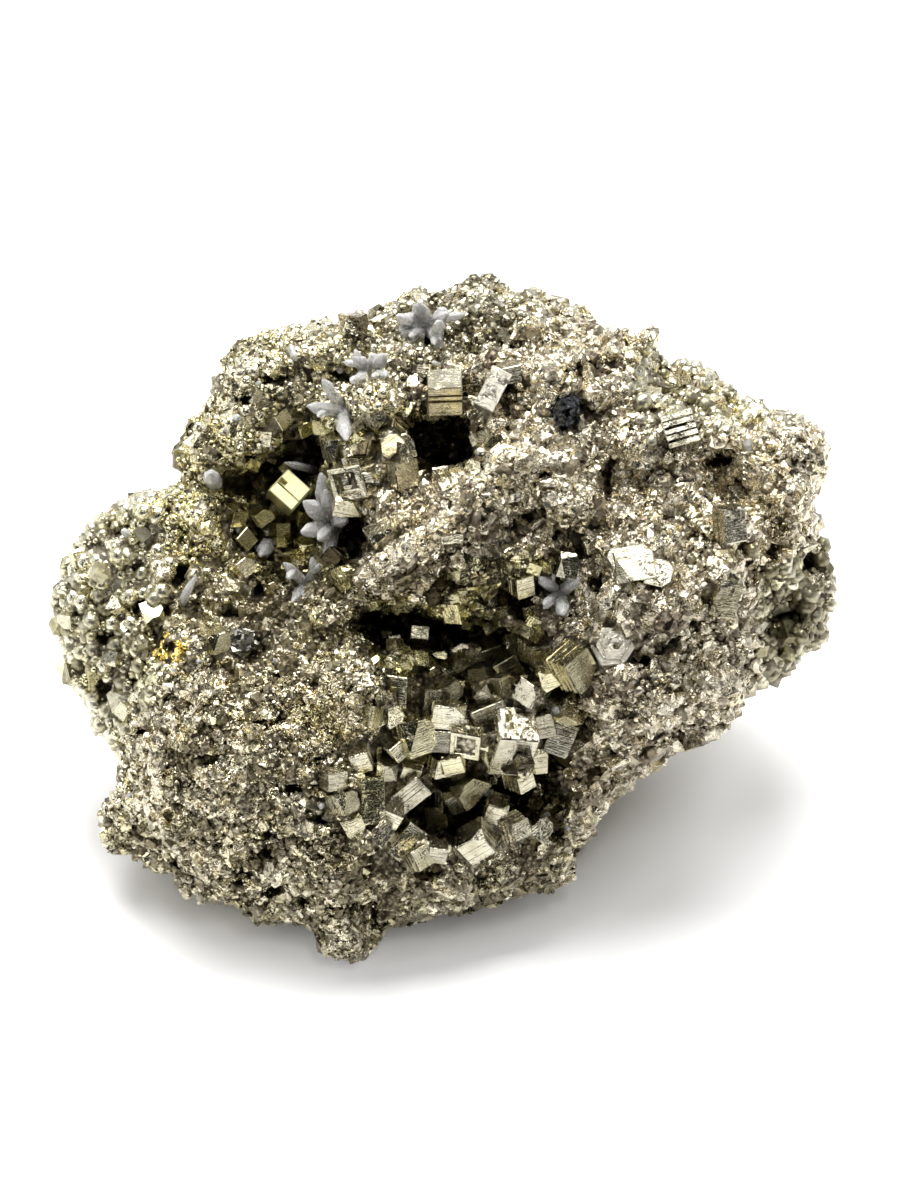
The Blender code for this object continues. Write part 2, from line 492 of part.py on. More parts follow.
def make_dark_grain(name, place, hosts):
    """One blunt dark grain, with its seat in the pyrite."""
    u, v, w, half_u, half_v, half_w, turn = place
    spin = Matrix.Rotation(math.radians(turn), 4, 'Z')
    grains = []
    for grow in (0.0, GRAIN_SEAT):
        size = Matrix.Diagonal((half_u + grow, half_v + grow, half_w + grow, 1.0))
        bm = bmesh.new()
        where = Matrix.Translation((u, v, w)) @ spin @ size
        bmesh.ops.create_icosphere(bm, subdivisions=1, radius=1.0, matrix=where)
        grains.append(object_from(bm, name))
    for host in hosts:
        boolean(host, grains[1], 'DIFFERENCE', keep_tool=True)
    bpy.data.objects.remove(grains[1], do_unlink=True)
    return grains[0]


def rest_flat(body):
    """Wear the underside flat at the level it rests on."""
    bm = bmesh.new()
    under = Matrix.Translation((0.0, 0.0, REST_LEVEL - FAR / 2.0))
    size = Matrix.Diagonal((FAR * 3.0, FAR * 3.0, FAR, 1.0))
    bmesh.ops.create_cube(bm, size=1.0, matrix=standing_to_face() @ under @ size)
    boolean(body, object_from(bm, "ground"), 'DIFFERENCE')


def pyrite_material(name, colour, roughness):
    """Pale brass metal of iron pyrite."""
    material = bpy.data.materials.new(name)
    material.use_nodes = True
    shader = material.node_tree.nodes["Principled BSDF"]
    shader.inputs["Base Color"].default_value = colour
    shader.inputs["Metallic"].default_value = 1.0
    shader.inputs["Roughness"].default_value = roughness
    return material


def quartz_material():
    """Milky, faintly lilac rock crystal."""
    material = bpy.data.materials.new("milky_quartz")
    material.use_nodes = True
    shader = material.node_tree.nodes["Principled BSDF"]
    shader.inputs["Base Color"].default_value = (0.82, 0.81, 0.86, 1.0)
    shader.inputs["Roughness"].default_value = 0.12
    shader.inputs["IOR"].default_value = 1.544
    shader.inputs["Transmission Weight"].default_value = 0.6
    return material


def dark_material():
    """Near-black zinc sulphide with a resinous shine."""
    material = bpy.data.materials.new("dark_sulphide")
    material.use_nodes = True
    shader = material.node_tree.nodes["Principled BSDF"]
    shader.inputs["Base Color"].default_value = (0.03, 0.035, 0.045, 1.0)
    shader.inputs["Roughness"].default_value = 0.25
    return material


def stand_up(parts):
    """Turn every part from the show-face layout to the standing frame, base centre at zero."""
    turn = Matrix.Scale(MM, 4) @ standing_to_face().inverted()
    for ob in parts:
        ob.data.transform(turn)
    corners = [vertex.co for ob in parts for vertex in ob.data.vertices]
    middle_x = (min(co.x for co in corners) + max(co.x for co in corners)) / 2.0
    middle_y = (min(co.y for co in corners) + max(co.y for co in corners)) / 2.0
    lowest = min(co.z for co in corners)
    for ob in parts:
        ob.data.transform(Matrix.Translation((-middle_x, -middle_y, -lowest)))
        ob.data.update()


def tidy_mesh(ob, material):
    """Triangles only, faces out, one material."""
    bm = bmesh.new()
    bm.from_mesh(ob.data)
    bmesh.ops.triangulate(bm, faces=bm.faces[:])
    bmesh.ops.recalc_face_normals(bm, faces=bm.faces[:])
    bm.to_mesh(ob.data)
    bm.free()
    ob.data.materials.clear()
    ob.data.materials.append(material)


def build_specimen():
    """Assemble the specimen."""
    clear_scene()
    mass = make_stone_body()
    mass.name = "pyrite_mass"
    rest_flat(mass)
    grow_knobs(mass)
    for crystals in (OUTER_CRYSTALS, VUG_CRYSTALS, POCKET_CRYSTALS):
        grow_crystals(mass, crystals)
    vug = hollow_crust(mass, VUG_HOLLOWS + VUG_SHELF, "vug_crystals")
    pocket = hollow_crust(mass, POCKET_HOLLOWS, "pocket_crystals")
    hosts = (mass, vug, pocket)
    quartz = [make_quartz(name, needles, hosts) for name, needles in QUARTZ_CLUSTERS.items()]
    grains = [make_dark_grain(name, place, hosts) for name, place in DARK_GRAINS.items()]
    for host, faces in zip(hosts, (MASS_FACES, VUG_FACES, POCKET_FACES)):
        largest_piece(host)
        thin_out(host, faces)
    outer = pyrite_material("pyrite_outer", (0.60, 0.54, 0.38, 1.0), 0.34)
    bright = pyrite_material("pyrite_crystal", (0.68, 0.60, 0.38, 1.0), 0.2)
    milky = quartz_material()
    dark = dark_material()
    tidy_mesh(mass, outer)
    tidy_mesh(vug, bright)
    tidy_mesh(pocket, bright)
    for ob in quartz:
        tidy_mesh(ob, milky)
    for ob in grains:
        tidy_mesh(ob, dark)
    stand_up([mass, vug, pocket] + quartz + grains)


build_specimen()
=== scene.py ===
"""Pyrite specimen with milky quartz needles on a pale floor."""
import json
import math
import random

import bmesh
import bpy
import numpy as np
from mathutils import Euler, Matrix, Quaternion, Vector
from mathutils.bvhtree import BVHTree

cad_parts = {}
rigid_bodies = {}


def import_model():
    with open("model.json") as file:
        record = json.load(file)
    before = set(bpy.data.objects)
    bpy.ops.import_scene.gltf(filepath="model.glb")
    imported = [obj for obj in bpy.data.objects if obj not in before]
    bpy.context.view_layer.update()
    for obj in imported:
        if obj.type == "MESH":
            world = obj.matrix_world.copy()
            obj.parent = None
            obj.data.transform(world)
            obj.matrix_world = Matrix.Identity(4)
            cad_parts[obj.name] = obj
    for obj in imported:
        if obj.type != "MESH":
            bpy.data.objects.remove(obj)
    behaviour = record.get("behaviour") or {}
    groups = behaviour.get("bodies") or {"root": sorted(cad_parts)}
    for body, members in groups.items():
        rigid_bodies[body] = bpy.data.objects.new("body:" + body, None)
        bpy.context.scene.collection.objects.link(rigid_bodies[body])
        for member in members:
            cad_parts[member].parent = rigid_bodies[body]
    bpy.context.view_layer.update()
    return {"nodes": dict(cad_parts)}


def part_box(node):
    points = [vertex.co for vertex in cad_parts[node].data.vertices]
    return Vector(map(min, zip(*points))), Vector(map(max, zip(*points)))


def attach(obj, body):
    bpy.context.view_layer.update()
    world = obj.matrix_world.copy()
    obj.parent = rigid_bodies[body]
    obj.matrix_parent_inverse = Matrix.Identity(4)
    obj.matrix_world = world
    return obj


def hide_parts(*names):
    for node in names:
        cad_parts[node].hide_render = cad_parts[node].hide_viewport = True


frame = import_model()

# ---------------------------------------------------------------------------
# Camera and the layout of the show face.  The stone was laid out in millimetres
# on its show face (u right, v up the face, w out of it), which leans back 40
# degrees; the camera looks straight at that face from about 0.9 m.
MM = 0.001
LEAN = math.radians(40.0)
FACE_OFFSET = Vector((0.0, -5.78, 33.01))      # from the face layout to the standing frame
FACE_TURN = Matrix((
    (1.0, 0.0, 0.0),
    (0.0, math.sin(LEAN), -math.cos(LEAN)),
    (0.0, math.cos(LEAN), math.sin(LEAN)),
))


def spot(u, v, w):
    """Standing-frame place, in metres, of a place on the show face."""
    return (FACE_TURN @ Vector((u, v, w)) + FACE_OFFSET) * MM


FACE_OUT = (FACE_TURN @ Vector((0.0, 0.0, 1.0))).normalized()
VIEW_DISTANCE = 900.0
IMAGE_WIDTH = 900.0                            # in pixels
PIXEL = 0.126                                  # millimetres of the show face to a pixel
VIEW_MIDDLE = (5.0 * PIXEL, 20.0 * PIXEL)      # place on the show face that the camera looks at
SENSOR = 36.0
camera_data = bpy.data.cameras.new("camera")
camera = bpy.data.objects.new("camera", camera_data)
bpy.context.scene.collection.objects.link(camera)
camera.location = spot(*VIEW_MIDDLE, VIEW_DISTANCE)
camera.rotation_euler = (math.radians(90.0) - LEAN, 0.0, 0.0)
camera_data.sensor_fit = 'HORIZONTAL'
camera_data.sensor_width = SENSOR
camera_data.lens = SENSOR * VIEW_DISTANCE / (IMAGE_WIDTH * PIXEL)
camera_data.clip_end = 10.0
bpy.context.scene.camera = camera

# ---------------------------------------------------------------------------
# Floor, lamps and sky: a white studio table under a large soft box, with darker
# surroundings on the camera's side, which give the metal its dark reflections.
FLOOR_SIZE = 3.0
FLOOR_WHITE = (0.92, 0.92, 0.92, 1.0)
FLOOR_GLOW = 0.30
# Round the stone's foot the table's glow is dimmed: a painted contact shadow.
PAINTED_SHADOW_MIDDLE = (-0.012, 0.002, 0.0)             # the stone's foot, round which the table glows less
PAINTED_SHADOW_REACH = (0.038, 0.029, 1.0)
PAINTED_SHADOW_FADE = (0.92, 1.25)                       # the glow comes back between these shares of that reach
PAINTED_SHADOW_GLOW = 0.12


def add_node(tree, kind, **values):
    """Add a shader node; values that name an input set it, the rest set the node itself."""
    node = tree.nodes.new(kind)
    for name, value in values.items():
        label = name.replace("_", " ")
        if label in node.inputs:
            node.inputs[label].default_value = value
        else:
            setattr(node, name, value)
    return node


bpy.ops.object.select_all(action='DESELECT')
bpy.ops.mesh.primitive_plane_add(size=FLOOR_SIZE, location=(0.0, 0.0, 0.0))
floor = bpy.context.object
floor.name = "floor"
floor_material = bpy.data.materials.new("white_table")
floor_material.use_nodes = True
floor_tree = floor_material.node_tree
floor_shader = floor_tree.nodes["Principled BSDF"]
floor_shader.inputs["Base Color"].default_value = FLOOR_WHITE
floor_shader.inputs["Roughness"].default_value = 0.6
floor_shader.inputs["Emission Strength"].default_value = FLOOR_GLOW
# The glow fades out round the foot: painted contact shadow.
table_place = add_node(floor_tree, "ShaderNodeTexCoord").outputs["Object"]
from_painted_shadow = add_node(
    floor_tree, "ShaderNodeMapping", vector_type='TEXTURE', Location=PAINTED_SHADOW_MIDDLE, Scale=PAINTED_SHADOW_REACH)
painted_shadow_share = add_node(floor_tree, "ShaderNodeVectorMath", operation='LENGTH')
glow = add_node(
    floor_tree, "ShaderNodeMapRange", From_Min=PAINTED_SHADOW_FADE[0], From_Max=PAINTED_SHADOW_FADE[1], To_Min=PAINTED_SHADOW_GLOW)
floor_tree.links.new(table_place, from_painted_shadow.inputs["Vector"])
floor_tree.links.new(from_painted_shadow.outputs["Vector"], painted_shadow_share.inputs[0])
floor_tree.links.new(painted_shadow_share.outputs["Value"], glow.inputs["Value"])
floor_tree.links.new(glow.outputs["Result"], floor_shader.inputs["Emission Color"])
floor.data.materials.append(floor_material)

# Lamps: name, place, width, height in metres, and watts
LAMPS = (
    ("top_box", (-0.05, 0.22, 0.62), 0.60, 0.45, 8.0),
    ("back_wall", (0.0, 0.85, 0.38), 1.60, 0.70, 3.6),
    ("left_wall", (-0.75, 0.0, 0.38), 0.90, 0.55, 2.2),
    ("right_wall", (0.75, 0.0, 0.38), 0.90, 0.55, 1.3),
    ("front_box", (0.16, -0.37, 0.71), 0.20, 0.20, 0.7),
)
LAMP_TARGET = Vector((0.0, 0.0, 0.03))
for lamp_name, lamp_place, lamp_width, lamp_height, watts in LAMPS:
    lamp_data = bpy.data.lights.new(lamp_name, 'AREA')
    lamp_data.shape = 'RECTANGLE'
    lamp_data.size = lamp_width
    lamp_data.size_y = lamp_height
    lamp_data.energy = watts
    lamp = bpy.data.objects.new(lamp_name, lamp_data)
    lamp.location = lamp_place
    lamp.rotation_euler = (LAMP_TARGET - Vector(lamp_place)).to_track_quat('-Z', 'Y').to_euler()
    bpy.context.scene.collection.objects.link(lamp)

SKY_STRENGTH = 0.035
world = bpy.data.worlds.new("studio")
world.use_nodes = True
bpy.context.scene.world = world
sky = world.node_tree.nodes["Background"]
sky.inputs["Color"].default_value = (1.0, 1.0, 1.0, 1.0)
sky.inputs["Strength"].default_value = SKY_STRENGTH
bpy.context.scene.view_settings.view_transform = 'Standard'

# ---------------------------------------------------------------------------
# The stone: massive fine-grained pyrite, an iron sulphide that grew as a lumpy
# crust round open hollows.  Its skin between the grains is pitted and dull, and painted dark as shade
# between the grains, darker still in its pits.
CORE_VOXEL = 0.60 * MM
SEAM_CLOSING = 0.22 * MM                       # closes the fine seams between the solids
GRAIN_ROOM = 0.30 * MM                         # the coat of grains stands this far out of the skin
CORE_RELIEF = (                                # lumps, nodules and crumbs: pattern, size, height, level
    ('VORONOI', 5.2 * MM, -1.5 * MM, 0.45),
    ('VORONOI', 2.9 * MM, -1.4 * MM, 0.45),
    ('CLOUDS', 1.0 * MM, 0.5 * MM, 0.5),
)
CORE_TONE = 0.30                               # tarnish of the level skin
PIT_SHADE_TONE = 0.45                               # painted shade that each millimetre down a pit adds to that tone
CORE_WARMTH = 0.3
PROBE_START = 80.0                             # a probing ray starts this far out of the show face
HOLLOW_LEVELS = 9.0                            # a mark shapes the skin this far above and below its middle
SWELLING_LEVELS = 6.0
PIT_LEVELS = 3.0
SWELLING_ROUNDNESS = 1.4
PIT_ROUNDNESS = 0.8
# Swellings of the show face: (u, v, half width, half height, turn in degrees, height), in millimetres
SWELLINGS = (
    (-8.3, 27.3, 4.6, 4.4, 0, 1.2), (14.5, 14.8, 5.2, 3.6, 8, 1.5), (15.0, 20.2, 4.6, 3.0, 20, 1.2),
    (11.5, 24.4, 4.2, 2.8, 10, 1.1), (20.5, 28.6, 4.2, 3.2, -10, 1.2), (24.0, 22.0, 4.0, 3.6, 0, 1.3),
    (28.2, 27.0, 3.0, 3.2, 0, 1.2), (12.4, 31.4, 4.2, 3.0, 0, 1.0), (4.0, 38.4, 4.4, 2.4, 0, 1.0),
    (10.2, 37.2, 3.6, 2.4, -20, 0.9), (17.0, 33.2, 3.4, 2.6, -25, 0.9), (-4.2, 33.2, 3.2, 2.2, 0, 0.9),
    (-5.2, 8.2, 5.2, 2.8, 30, 1.3), (0.0, 11.8, 4.2, 2.4, 35, 1.1), (4.4, 15.8, 4.2, 2.8, 40, 1.2),
    (8.2, 19.2, 3.6, 2.6, 35, 1.0), (4.4, 6.2, 4.6, 3.0, 10, 1.2), (9.4, 8.4, 3.2, 2.8, 0, 1.0),
    (-2.2, 4.2, 3.6, 2.0, 0, 0.9), (24.0, 6.6, 4.6, 3.2, -5, 1.3), (20.8, 1.4, 3.0, 2.6, 0, 1.1),
    (28.2, 2.4, 3.8, 3.0, 0, 1.2), (33.6, 5.4, 2.8, 4.2, 5, 1.1), (21.4, -7.4, 3.4, 2.2, 0, 1.0),
    (27.2, -11.4, 4.2, 2.4, 15, 1.0), (33.2, -8.4, 3.0, 3.0, 0, 1.1), (36.4, -1.8, 2.4, 4.0, 10, 1.0),
    (30.0, 10.6, 3.6, 2.8, 0, 1.0), (24.4, 12.4, 3.8, 2.4, 0, 1.0), (34.6, 23.6, 3.0, 2.4, 0, 1.1),
    (29.4, 21.6, 2.4, 2.2, 0, 0.8), (38.8, 19.0, 3.0, 2.4, 20, 1.0), (42.4, 23.0, 2.8, 2.4, 0, 1.0),
    (46.0, 20.6, 2.4, 2.8, 0, 0.9), (43.2, 15.2, 2.8, 3.8, 10, 1.1), (38.2, 11.6, 2.8, 3.2, 0, 1.0),
    (-14.4, 0.4, 3.6, 2.8, 10, 1.2), (-12.0, -8.0, 5.6, 3.6, 10, 1.0), (-23.4, -8.6, 3.8, 2.6, 0, 0.9),
    (-30.4, -8.4, 3.8, 2.8, 0, 0.9), (-30.6, -17.4, 4.0, 3.4, 0, 0.8), (-23.6, -18.6, 3.2, 3.0, 0, 0.8),
    (-36.2, -22.0, 3.0, 3.0, 0, 0.8), (-24.4, -24.0, 3.8, 2.6, 0, 0.8), (-34.0, -26.4, 4.0, 2.8, 20, 0.9),
    (-14.0, -32.6, 4.8, 3.4, 0, 1.0), (-21.0, -31.4, 3.0, 1.8, 0, 0.9), (-5.6, -33.4, 4.4, 2.8, 0, 1.0),
    (1.8, -34.4, 4.4, 2.2, 0, 0.9), (8.4, -31.4, 3.8, 2.6, 20, 0.9), (16.2, -24.0, 2.6, 3.8, 0, 1.0),
    (-12.8, -39.4, 3.4, 3.2, 0, 0.8), (-22.4, 33.0, 3.6, 2.8, 0, 0.9), (-26.6, 30.0, 2.6, 2.6, 0, 0.8),
    (-16.0, 34.2, 3.0, 2.4, 0, 0.8), (-27.4, 22.0, 3.4, 2.6, 0, 0.9), (-23.2, 26.6, 2.8, 2.2, 0, 0.8),
    (-30.4, 13.0, 2.6, 3.4, 0, 1.0), (-27.6, 4.4, 3.4, 3.0, 0, 1.0), (-36.0, 3.0, 2.0, 2.6, 0, 0.8),
    (-19.6, -2.6, 3.0, 2.4, 0, 0.9), (-27.0, -4.6, 3.0, 2.0, 0, 0.8), (20.6, 23.4, 2.8, 2.2, 0, 0.9),
    (-11.6, -24.6, 3.4, 2.6, 0, 0.8), (-41.4, -25.4, 3.2, 3.2, 0, 0.5), (13.6, -10.6, 2.6, 2.6, 0, 0.8),
    (-38.0, 13.6, 1.5, 1.4, 0, 0.9), (-42.8, 12.4, 1.8, 1.4, 10, 0.9), (-44.0, 10.8, 1.4, 1.2, 0, 0.8),
    (-46.2, 7.8, 1.3, 1.3, 0, 0.9), (-43.6, 5.8, 1.3, 1.2, 0, 0.9), (-48.6, 4.0, 1.4, 1.3, 0, 0.8),
    (-46.4, 2.3, 1.4, 1.2, 0, 0.9), (-48.2, 0.2, 1.2, 1.4, 0, 0.8), (-42.2, -0.6, 1.2, 1.5, 0, 0.9),
    (-46.8, -4.2, 1.6, 1.3, 0, 0.8), (-42.0, -4.8, 2.2, 1.2, 5, 0.9), (-40.0, -8.2, 1.3, 1.2, 0, 0.9),
    (-44.6, -11.0, 1.6, 1.4, 0, 0.8), (-38.6, -2.4, 2.0, 2.6, -30, 0.9), (-41.0, 8.2, 2.0, 1.6, 0, 0.9),
    (-36.0, 8.0, 1.8, 1.4, 30, 0.9), (-43.4, 3.0, 1.4, 1.4, 0, 0.7), (-38.4, 4.6, 1.4, 1.8, 0, 0.8),
    (-45.6, -7.8, 1.6, 2.0, 0, 0.8), (-40.6, -11.4, 1.8, 1.6, 0, 0.8), (-46.0, 5.0, 1.2, 1.2, 0, 0.7),
    (21.0, 36.2, 2.0, 1.4, 0, 0.8), (25.3, 35.6, 2.0, 1.8, 0, 0.9), (23.4, 33.6, 1.8, 1.2, -30, 0.7),
    (30.4, 32.0, 1.9, 1.6, 0, 0.9), (33.0, 31.0, 1.6, 1.6, 0, 0.8), (35.8, 28.8, 1.7, 1.7, 0, 0.9),
    (38.6, 26.8, 1.9, 1.5, 0, 0.8), (43.8, 25.2, 2.2, 1.2, 0, 0.8), (47.2, 22.4, 1.5, 1.8, 0, 0.9),
    (34.2, 27.2, 1.6, 1.4, 0, 0.8), (30.8, 28.8, 1.5, 1.5, 0, 0.8), (41.0, 23.6, 1.4, 1.4, 0, 0.7),
    (-11.6, 37.0, 2.0, 1.3, 10, 0.8), (-16.0, 36.4, 1.8, 1.2, 0, 0.6), (-21.4, 35.2, 1.6, 1.0, 0, 0.6),
)
# Deep hollows between the crystals, sunk before the finer relief
HOLLOWS = (
    (-17.0, 21.0, 4.6, 3.4, 0, 8.0), (-26.4, 17.4, 3.2, 1.8, -3, 9.0), (-21.5, 12.0, 7.5, 7.5, 0, 3.0),
    (-12.0, 8.6, 1.8, 4.6, -12, 4.0), (-23.2, 3.6, 2.4, 2.0, 0, 3.5), (-32.8, 5.6, 1.6, 2.0, 10, 4.0),
    (-12.4, 30.8, 2.2, 1.2, 0, 3.0), (-1.0, 23.4, 3.6, 2.6, -20, 3.2), (2.8, 20.6, 1.8, 2.6, -40, 3.2),
    (-8.4, 20.8, 2.2, 1.0, -35, 3.0), (-8.0, -0.6, 4.4, 2.6, 5, 5.5), (-7.6, -3.8, 2.4, 1.8, 0, 4.0),
    (2.2, -1.8, 2.6, 1.4, -10, 4.0), (6.4, -6.8, 1.8, 1.4, 0, 3.0), (0.4, -6.8, 1.2, 1.8, 20, 3.0),
    (3.4, -9.4, 1.8, 1.1, 0, 3.0), (9.2, 1.6, 1.6, 2.6, 0, 2.4), (15.4, -9.6, 2.2, 1.0, 15, 3.5),
    (11.8, -18.4, 1.3, 2.6, 0, 4.5), (-0.6, -16.6, 2.4, 0.9, 5, 3.0), (-7.8, -17.2, 1.6, 0.8, 0, 2.5),
    (-2.0, -23.2, 1.8, 2.8, 0, 4.5), (-7.4, -21.2, 1.2, 1.4, 0, 3.0), (7.6, -23.2, 4.6, 1.9, 8, 5.5),
    (2.6, -24.8, 2.4, 1.4, 0, 4.0), (14.6, -26.8, 1.9, 1.2, 15, 3.5), (0.8, -27.2, 2.6, 1.2, 0, 3.5),
    (24.4, -4.8, 1.6, 1.1, 10, 3.5), (-5.6, -24.6, 1.6, 1.2, 0, 3.5), (34.2, 20.2, 2.4, 1.0, 5, 3.5),
    (46.0, 7.6, 2.0, 2.8, 0, 3.5), (28.0, 28.2, 1.3, 2.0, 15, 3.0), (31.8, 22.4, 0.9, 1.8, -15, 2.5),
    (20.0, 19.0, 0.9, 3.0, 5, 3.0), (-38.2, 1.6, 1.6, 1.2, 20, 2.5), (-42.6, -2.4, 1.9, 0.9, 15, 2.5),
    (-37.6, -13.4, 1.9, 1.0, 25, 3.0), (36.0, 13.4, 1.0, 2.2, -20, 2.5), (-10.6, 26.8, 0.8, 2.0, 20, 2.0),
)
# Pits and clefts of the show face, written the same way, with their depth
PITS = (
    (-29.2, -17.0, 1.7, 0.6, 5, 2.2), (-22.0, -12.5, 2.2, 0.7, 12, 2.0), (-37.8, -13.3, 1.8, 0.9, 30, 2.2),
    (-21.5, -26.9, 3.0, 0.45, -3, 2.4), (-22.2, -28.8, 1.1, 1.7, -30, 2.4),
    (-28.2, -28.1, 1.1, 0.6, 20, 1.8),
    (-26.4, -28.5, 0.9, 0.5, -20, 1.6), (-25.4, -31.4, 2.2, 0.8, -15, 2.2),
    (-25.6, -33.0, 1.4, 0.6, 10, 1.8),
    (-21.2, -33.9, 2.2, 0.8, 5, 2.2), (-17.8, -35.2, 1.6, 0.9, -25, 2.2), (-19.2, -20.8, 2.0, 0.7, 5, 2.4),
    (-16.3, -17.2, 1.2, 0.5, 15, 1.8), (-20.3, -7.1, 1.1, 0.9, 30, 2.0), (-16.2, -8.0, 1.1, 0.8, 20, 2.0),
    (-12.0, -8.3, 0.9, 0.9, 0, 1.8), (-8.4, -6.8, 0.9, 0.9, 0, 1.8), (-7.0, -8.4, 0.6, 0.6, 0, 1.5),
    (-7.4, -17.3, 2.4, 0.7, 5, 2.6), (-15.2, -24.9, 2.0, 0.6, 0, 2.2), (-27.2, -15.9, 0.5, 0.7, 0, 1.5),
    (27.2, -3.2, 2.4, 1.1, 30, 2.4), (24.8, -4.8, 2.2, 0.6, 15, 2.2), (28.4, -8.6, 1.4, 0.7, -15, 2.0),
    (19.0, -18.5, 1.2, 0.9, 10, 2.0), (21.5, -16.2, 1.0, 0.8, 0, 1.8), (17.2, -12.6, 0.8, 1.6, 0, 2.0),
    (45.4, 7.2, 1.7, 2.4, 0, 2.2), (43.5, 0.4, 2.2, 1.2, 10, 2.2), (41.2, 8.5, 0.9, 1.1, 0, 1.8),
    (34.8, 20.1, 2.0, 0.7, 10, 2.2), (33.0, 17.2, 1.3, 0.7, -30, 2.0), (32.6, 15.2, 0.8, 0.5, 0, 1.6),
    (20.4, 17.6, 0.7, 3.6, -6, 2.2), (36.4, 13.2, 0.8, 2.6, -25, 2.0), (38.4, 5.8, 0.9, 2.2, 10, 2.0),
    (16.8, 26.5, 2.2, 0.6, -5, 2.2), (9.6, 12.6, 3.4, 0.7, 22, 2.2), (18.6, 11.6, 2.2, 0.7, -10, 2.0),
    (11.8, 17.6, 2.4, 0.5, 30, 1.8), (26.6, 18.6, 2.2, 0.6, 20, 2.0), (31.4, 25.2, 0.7, 2.0, 10, 2.0),
    (24.4, 26.2, 2.4, 0.6, 15, 1.8), (17.2, 30.6, 0.6, 2.0, 20, 1.8), (7.8, 34.6, 2.2, 0.6, 10, 1.8),
    (-1.2, 35.4, 2.2, 0.8, 0, 2.0), (2.6, 27.8, 0.8, 2.2, 0, 2.4), (-12.6, 30.6, 1.9, 0.8, -5, 2.6),
    (-12.6, 17.2, 0.7, 1.6, 0, 2.4), (-10.6, 7.6, 0.9, 3.4, -15, 2.6), (-33.2, 6.0, 1.2, 1.2, 0, 2.4),
    (-34.2, -3.4, 1.0, 0.9, 0, 2.2),
    (-35.0, 1.0, 0.8, 1.2, 0, 1.8), (-39.0, 1.6, 1.6, 0.8, 20, 1.8), (-42.6, -2.6, 1.6, 0.8, 20, 1.6),
    (-43.0, -8.8, 1.0, 1.8, 0, 1.8), (-40.6, 11.6, 1.2, 0.6, 0, 1.5), (-46.6, 0.2, 0.8, 1.0, 0, 1.5),
    (-35.0, -9.4, 1.6, 0.8, 10, 1.8), (-31.8, -10.4, 0.7, 0.7, 0, 1.5), (-18.2, -10.0, 0.8, 1.0, 0, 1.6),
    (-26.8, 0.8, 2.6, 0.5, 10, 2.0), (-23.4, 3.6, 1.8, 1.6, 0, 2.4), (-24.6, -4.4, 1.6, 0.9, 0, 2.0),
    (-21.4, 30.2, 1.8, 0.8, 10, 2.0), (-25.6, 27.6, 1.3, 0.7, 0, 1.8), (-28.0, 26.0, 0.7, 0.9, 0, 1.6),
    (-24.8, 20.3, 0.6, 0.6, 0, 1.8), (-33.0, 11.0, 0.9, 1.6, 0, 1.6), (4.0, 2.2, 3.2, 0.8, 5, 2.2),
    (-6.4, 5.2, 2.2, 0.6, 20, 1.8), (7.6, 3.0, 0.9, 1.8, 0, 2.0), (11.0, 3.6, 0.9, 2.4, 0, 2.2),
    (16.6, 9.8, 1.0, 2.0, 10, 2.2), (19.0, 5.0, 0.7, 2.2, 0, 2.0), (31.2, -1.6, 0.7, 2.2, 10, 1.8),
    (38.6, -6.4, 1.2, 0.7, -30, 1.6), (24.4, -14.2, 1.8, 0.6, 15, 1.8), (30.0, -14.6, 1.3, 0.6, 15, 1.6),
    (12.0, -28.6, 0.6, 0.6, 0, 2.0), (-9.6, -29.4, 1.6, 0.6, 0, 1.8), (-2.0, -31.6, 2.2, 0.6, 5, 1.8),
    (5.0, -32.4, 1.8, 0.6, 10, 1.8), (-12.4, -36.0, 2.4, 0.6, 5, 1.6), (-8.8, -36.6, 0.8, 1.4, 0, 1.6),
    (8.0, 28.6, 0.7, 2.2, 10, 2.0), (13.6, 10.6, 0.8, 1.6, -20, 1.8), (0.6, 8.0, 2.6, 0.6, 25, 1.8),
)


def only_active(ob):
    """Select this object alone and make it the active one."""
    bpy.ops.object.select_all(action='DESELECT')
    ob.select_set(True)
    bpy.context.view_layer.objects.active = ob


def work_step(ob, kind, **values):
    """Add a modifier with these values and apply it."""
    only_active(ob)
    step = ob.modifiers.new(kind.lower(), kind)
    for name, value in values.items():
        setattr(step, name, value)
    bpy.ops.object.modifier_apply(modifier=step.name)


def relief(ob, kind, size, height, level):
    """Push the surface in and out by a cloudy or cellular pattern."""
    pattern = bpy.data.textures.new("relief", kind)
    pattern.noise_scale = size
    work_step(ob, 'DISPLACE', texture=pattern, texture_coords='LOCAL', strength=height, mid_level=level)


def merged_copy(nodes, name):
    """One object made of copies of these solids, with their loose triangles merged."""
    copies = []
    for node in nodes:
        twin = bpy.data.objects.new(name, frame["nodes"][node].data.copy())
        bpy.context.scene.collection.objects.link(twin)
        copies.append(twin)
    bpy.ops.object.select_all(action='DESELECT')
    for twin in copies:
        twin.select_set(True)
    bpy.context.view_layer.objects.active = copies[0]
    bpy.ops.object.join()
    bpy.ops.object.mode_set(mode='EDIT')
    bpy.ops.mesh.select_all(action='SELECT')
    bpy.ops.mesh.remove_doubles(threshold=0.001 * MM)
    bpy.ops.object.mode_set(mode='OBJECT')
    return bpy.context.object


def keep_outer_shell(ob):
    """Drop every loose bit except the shell that holds the highest point."""
    only_active(ob)
    bpy.ops.object.mode_set(mode='EDIT')
    bpy.ops.mesh.select_all(action='DESELECT')
    bm = bmesh.from_edit_mesh(ob.data)
    max(bm.verts, key=lambda vert: vert.co.z).select_set(True)
    bmesh.update_edit_mesh(ob.data)
    bpy.ops.mesh.select_linked()
    bpy.ops.mesh.select_all(action='INVERT')
    bpy.ops.mesh.delete(type='VERT')
    bpy.ops.object.mode_set(mode='OBJECT')


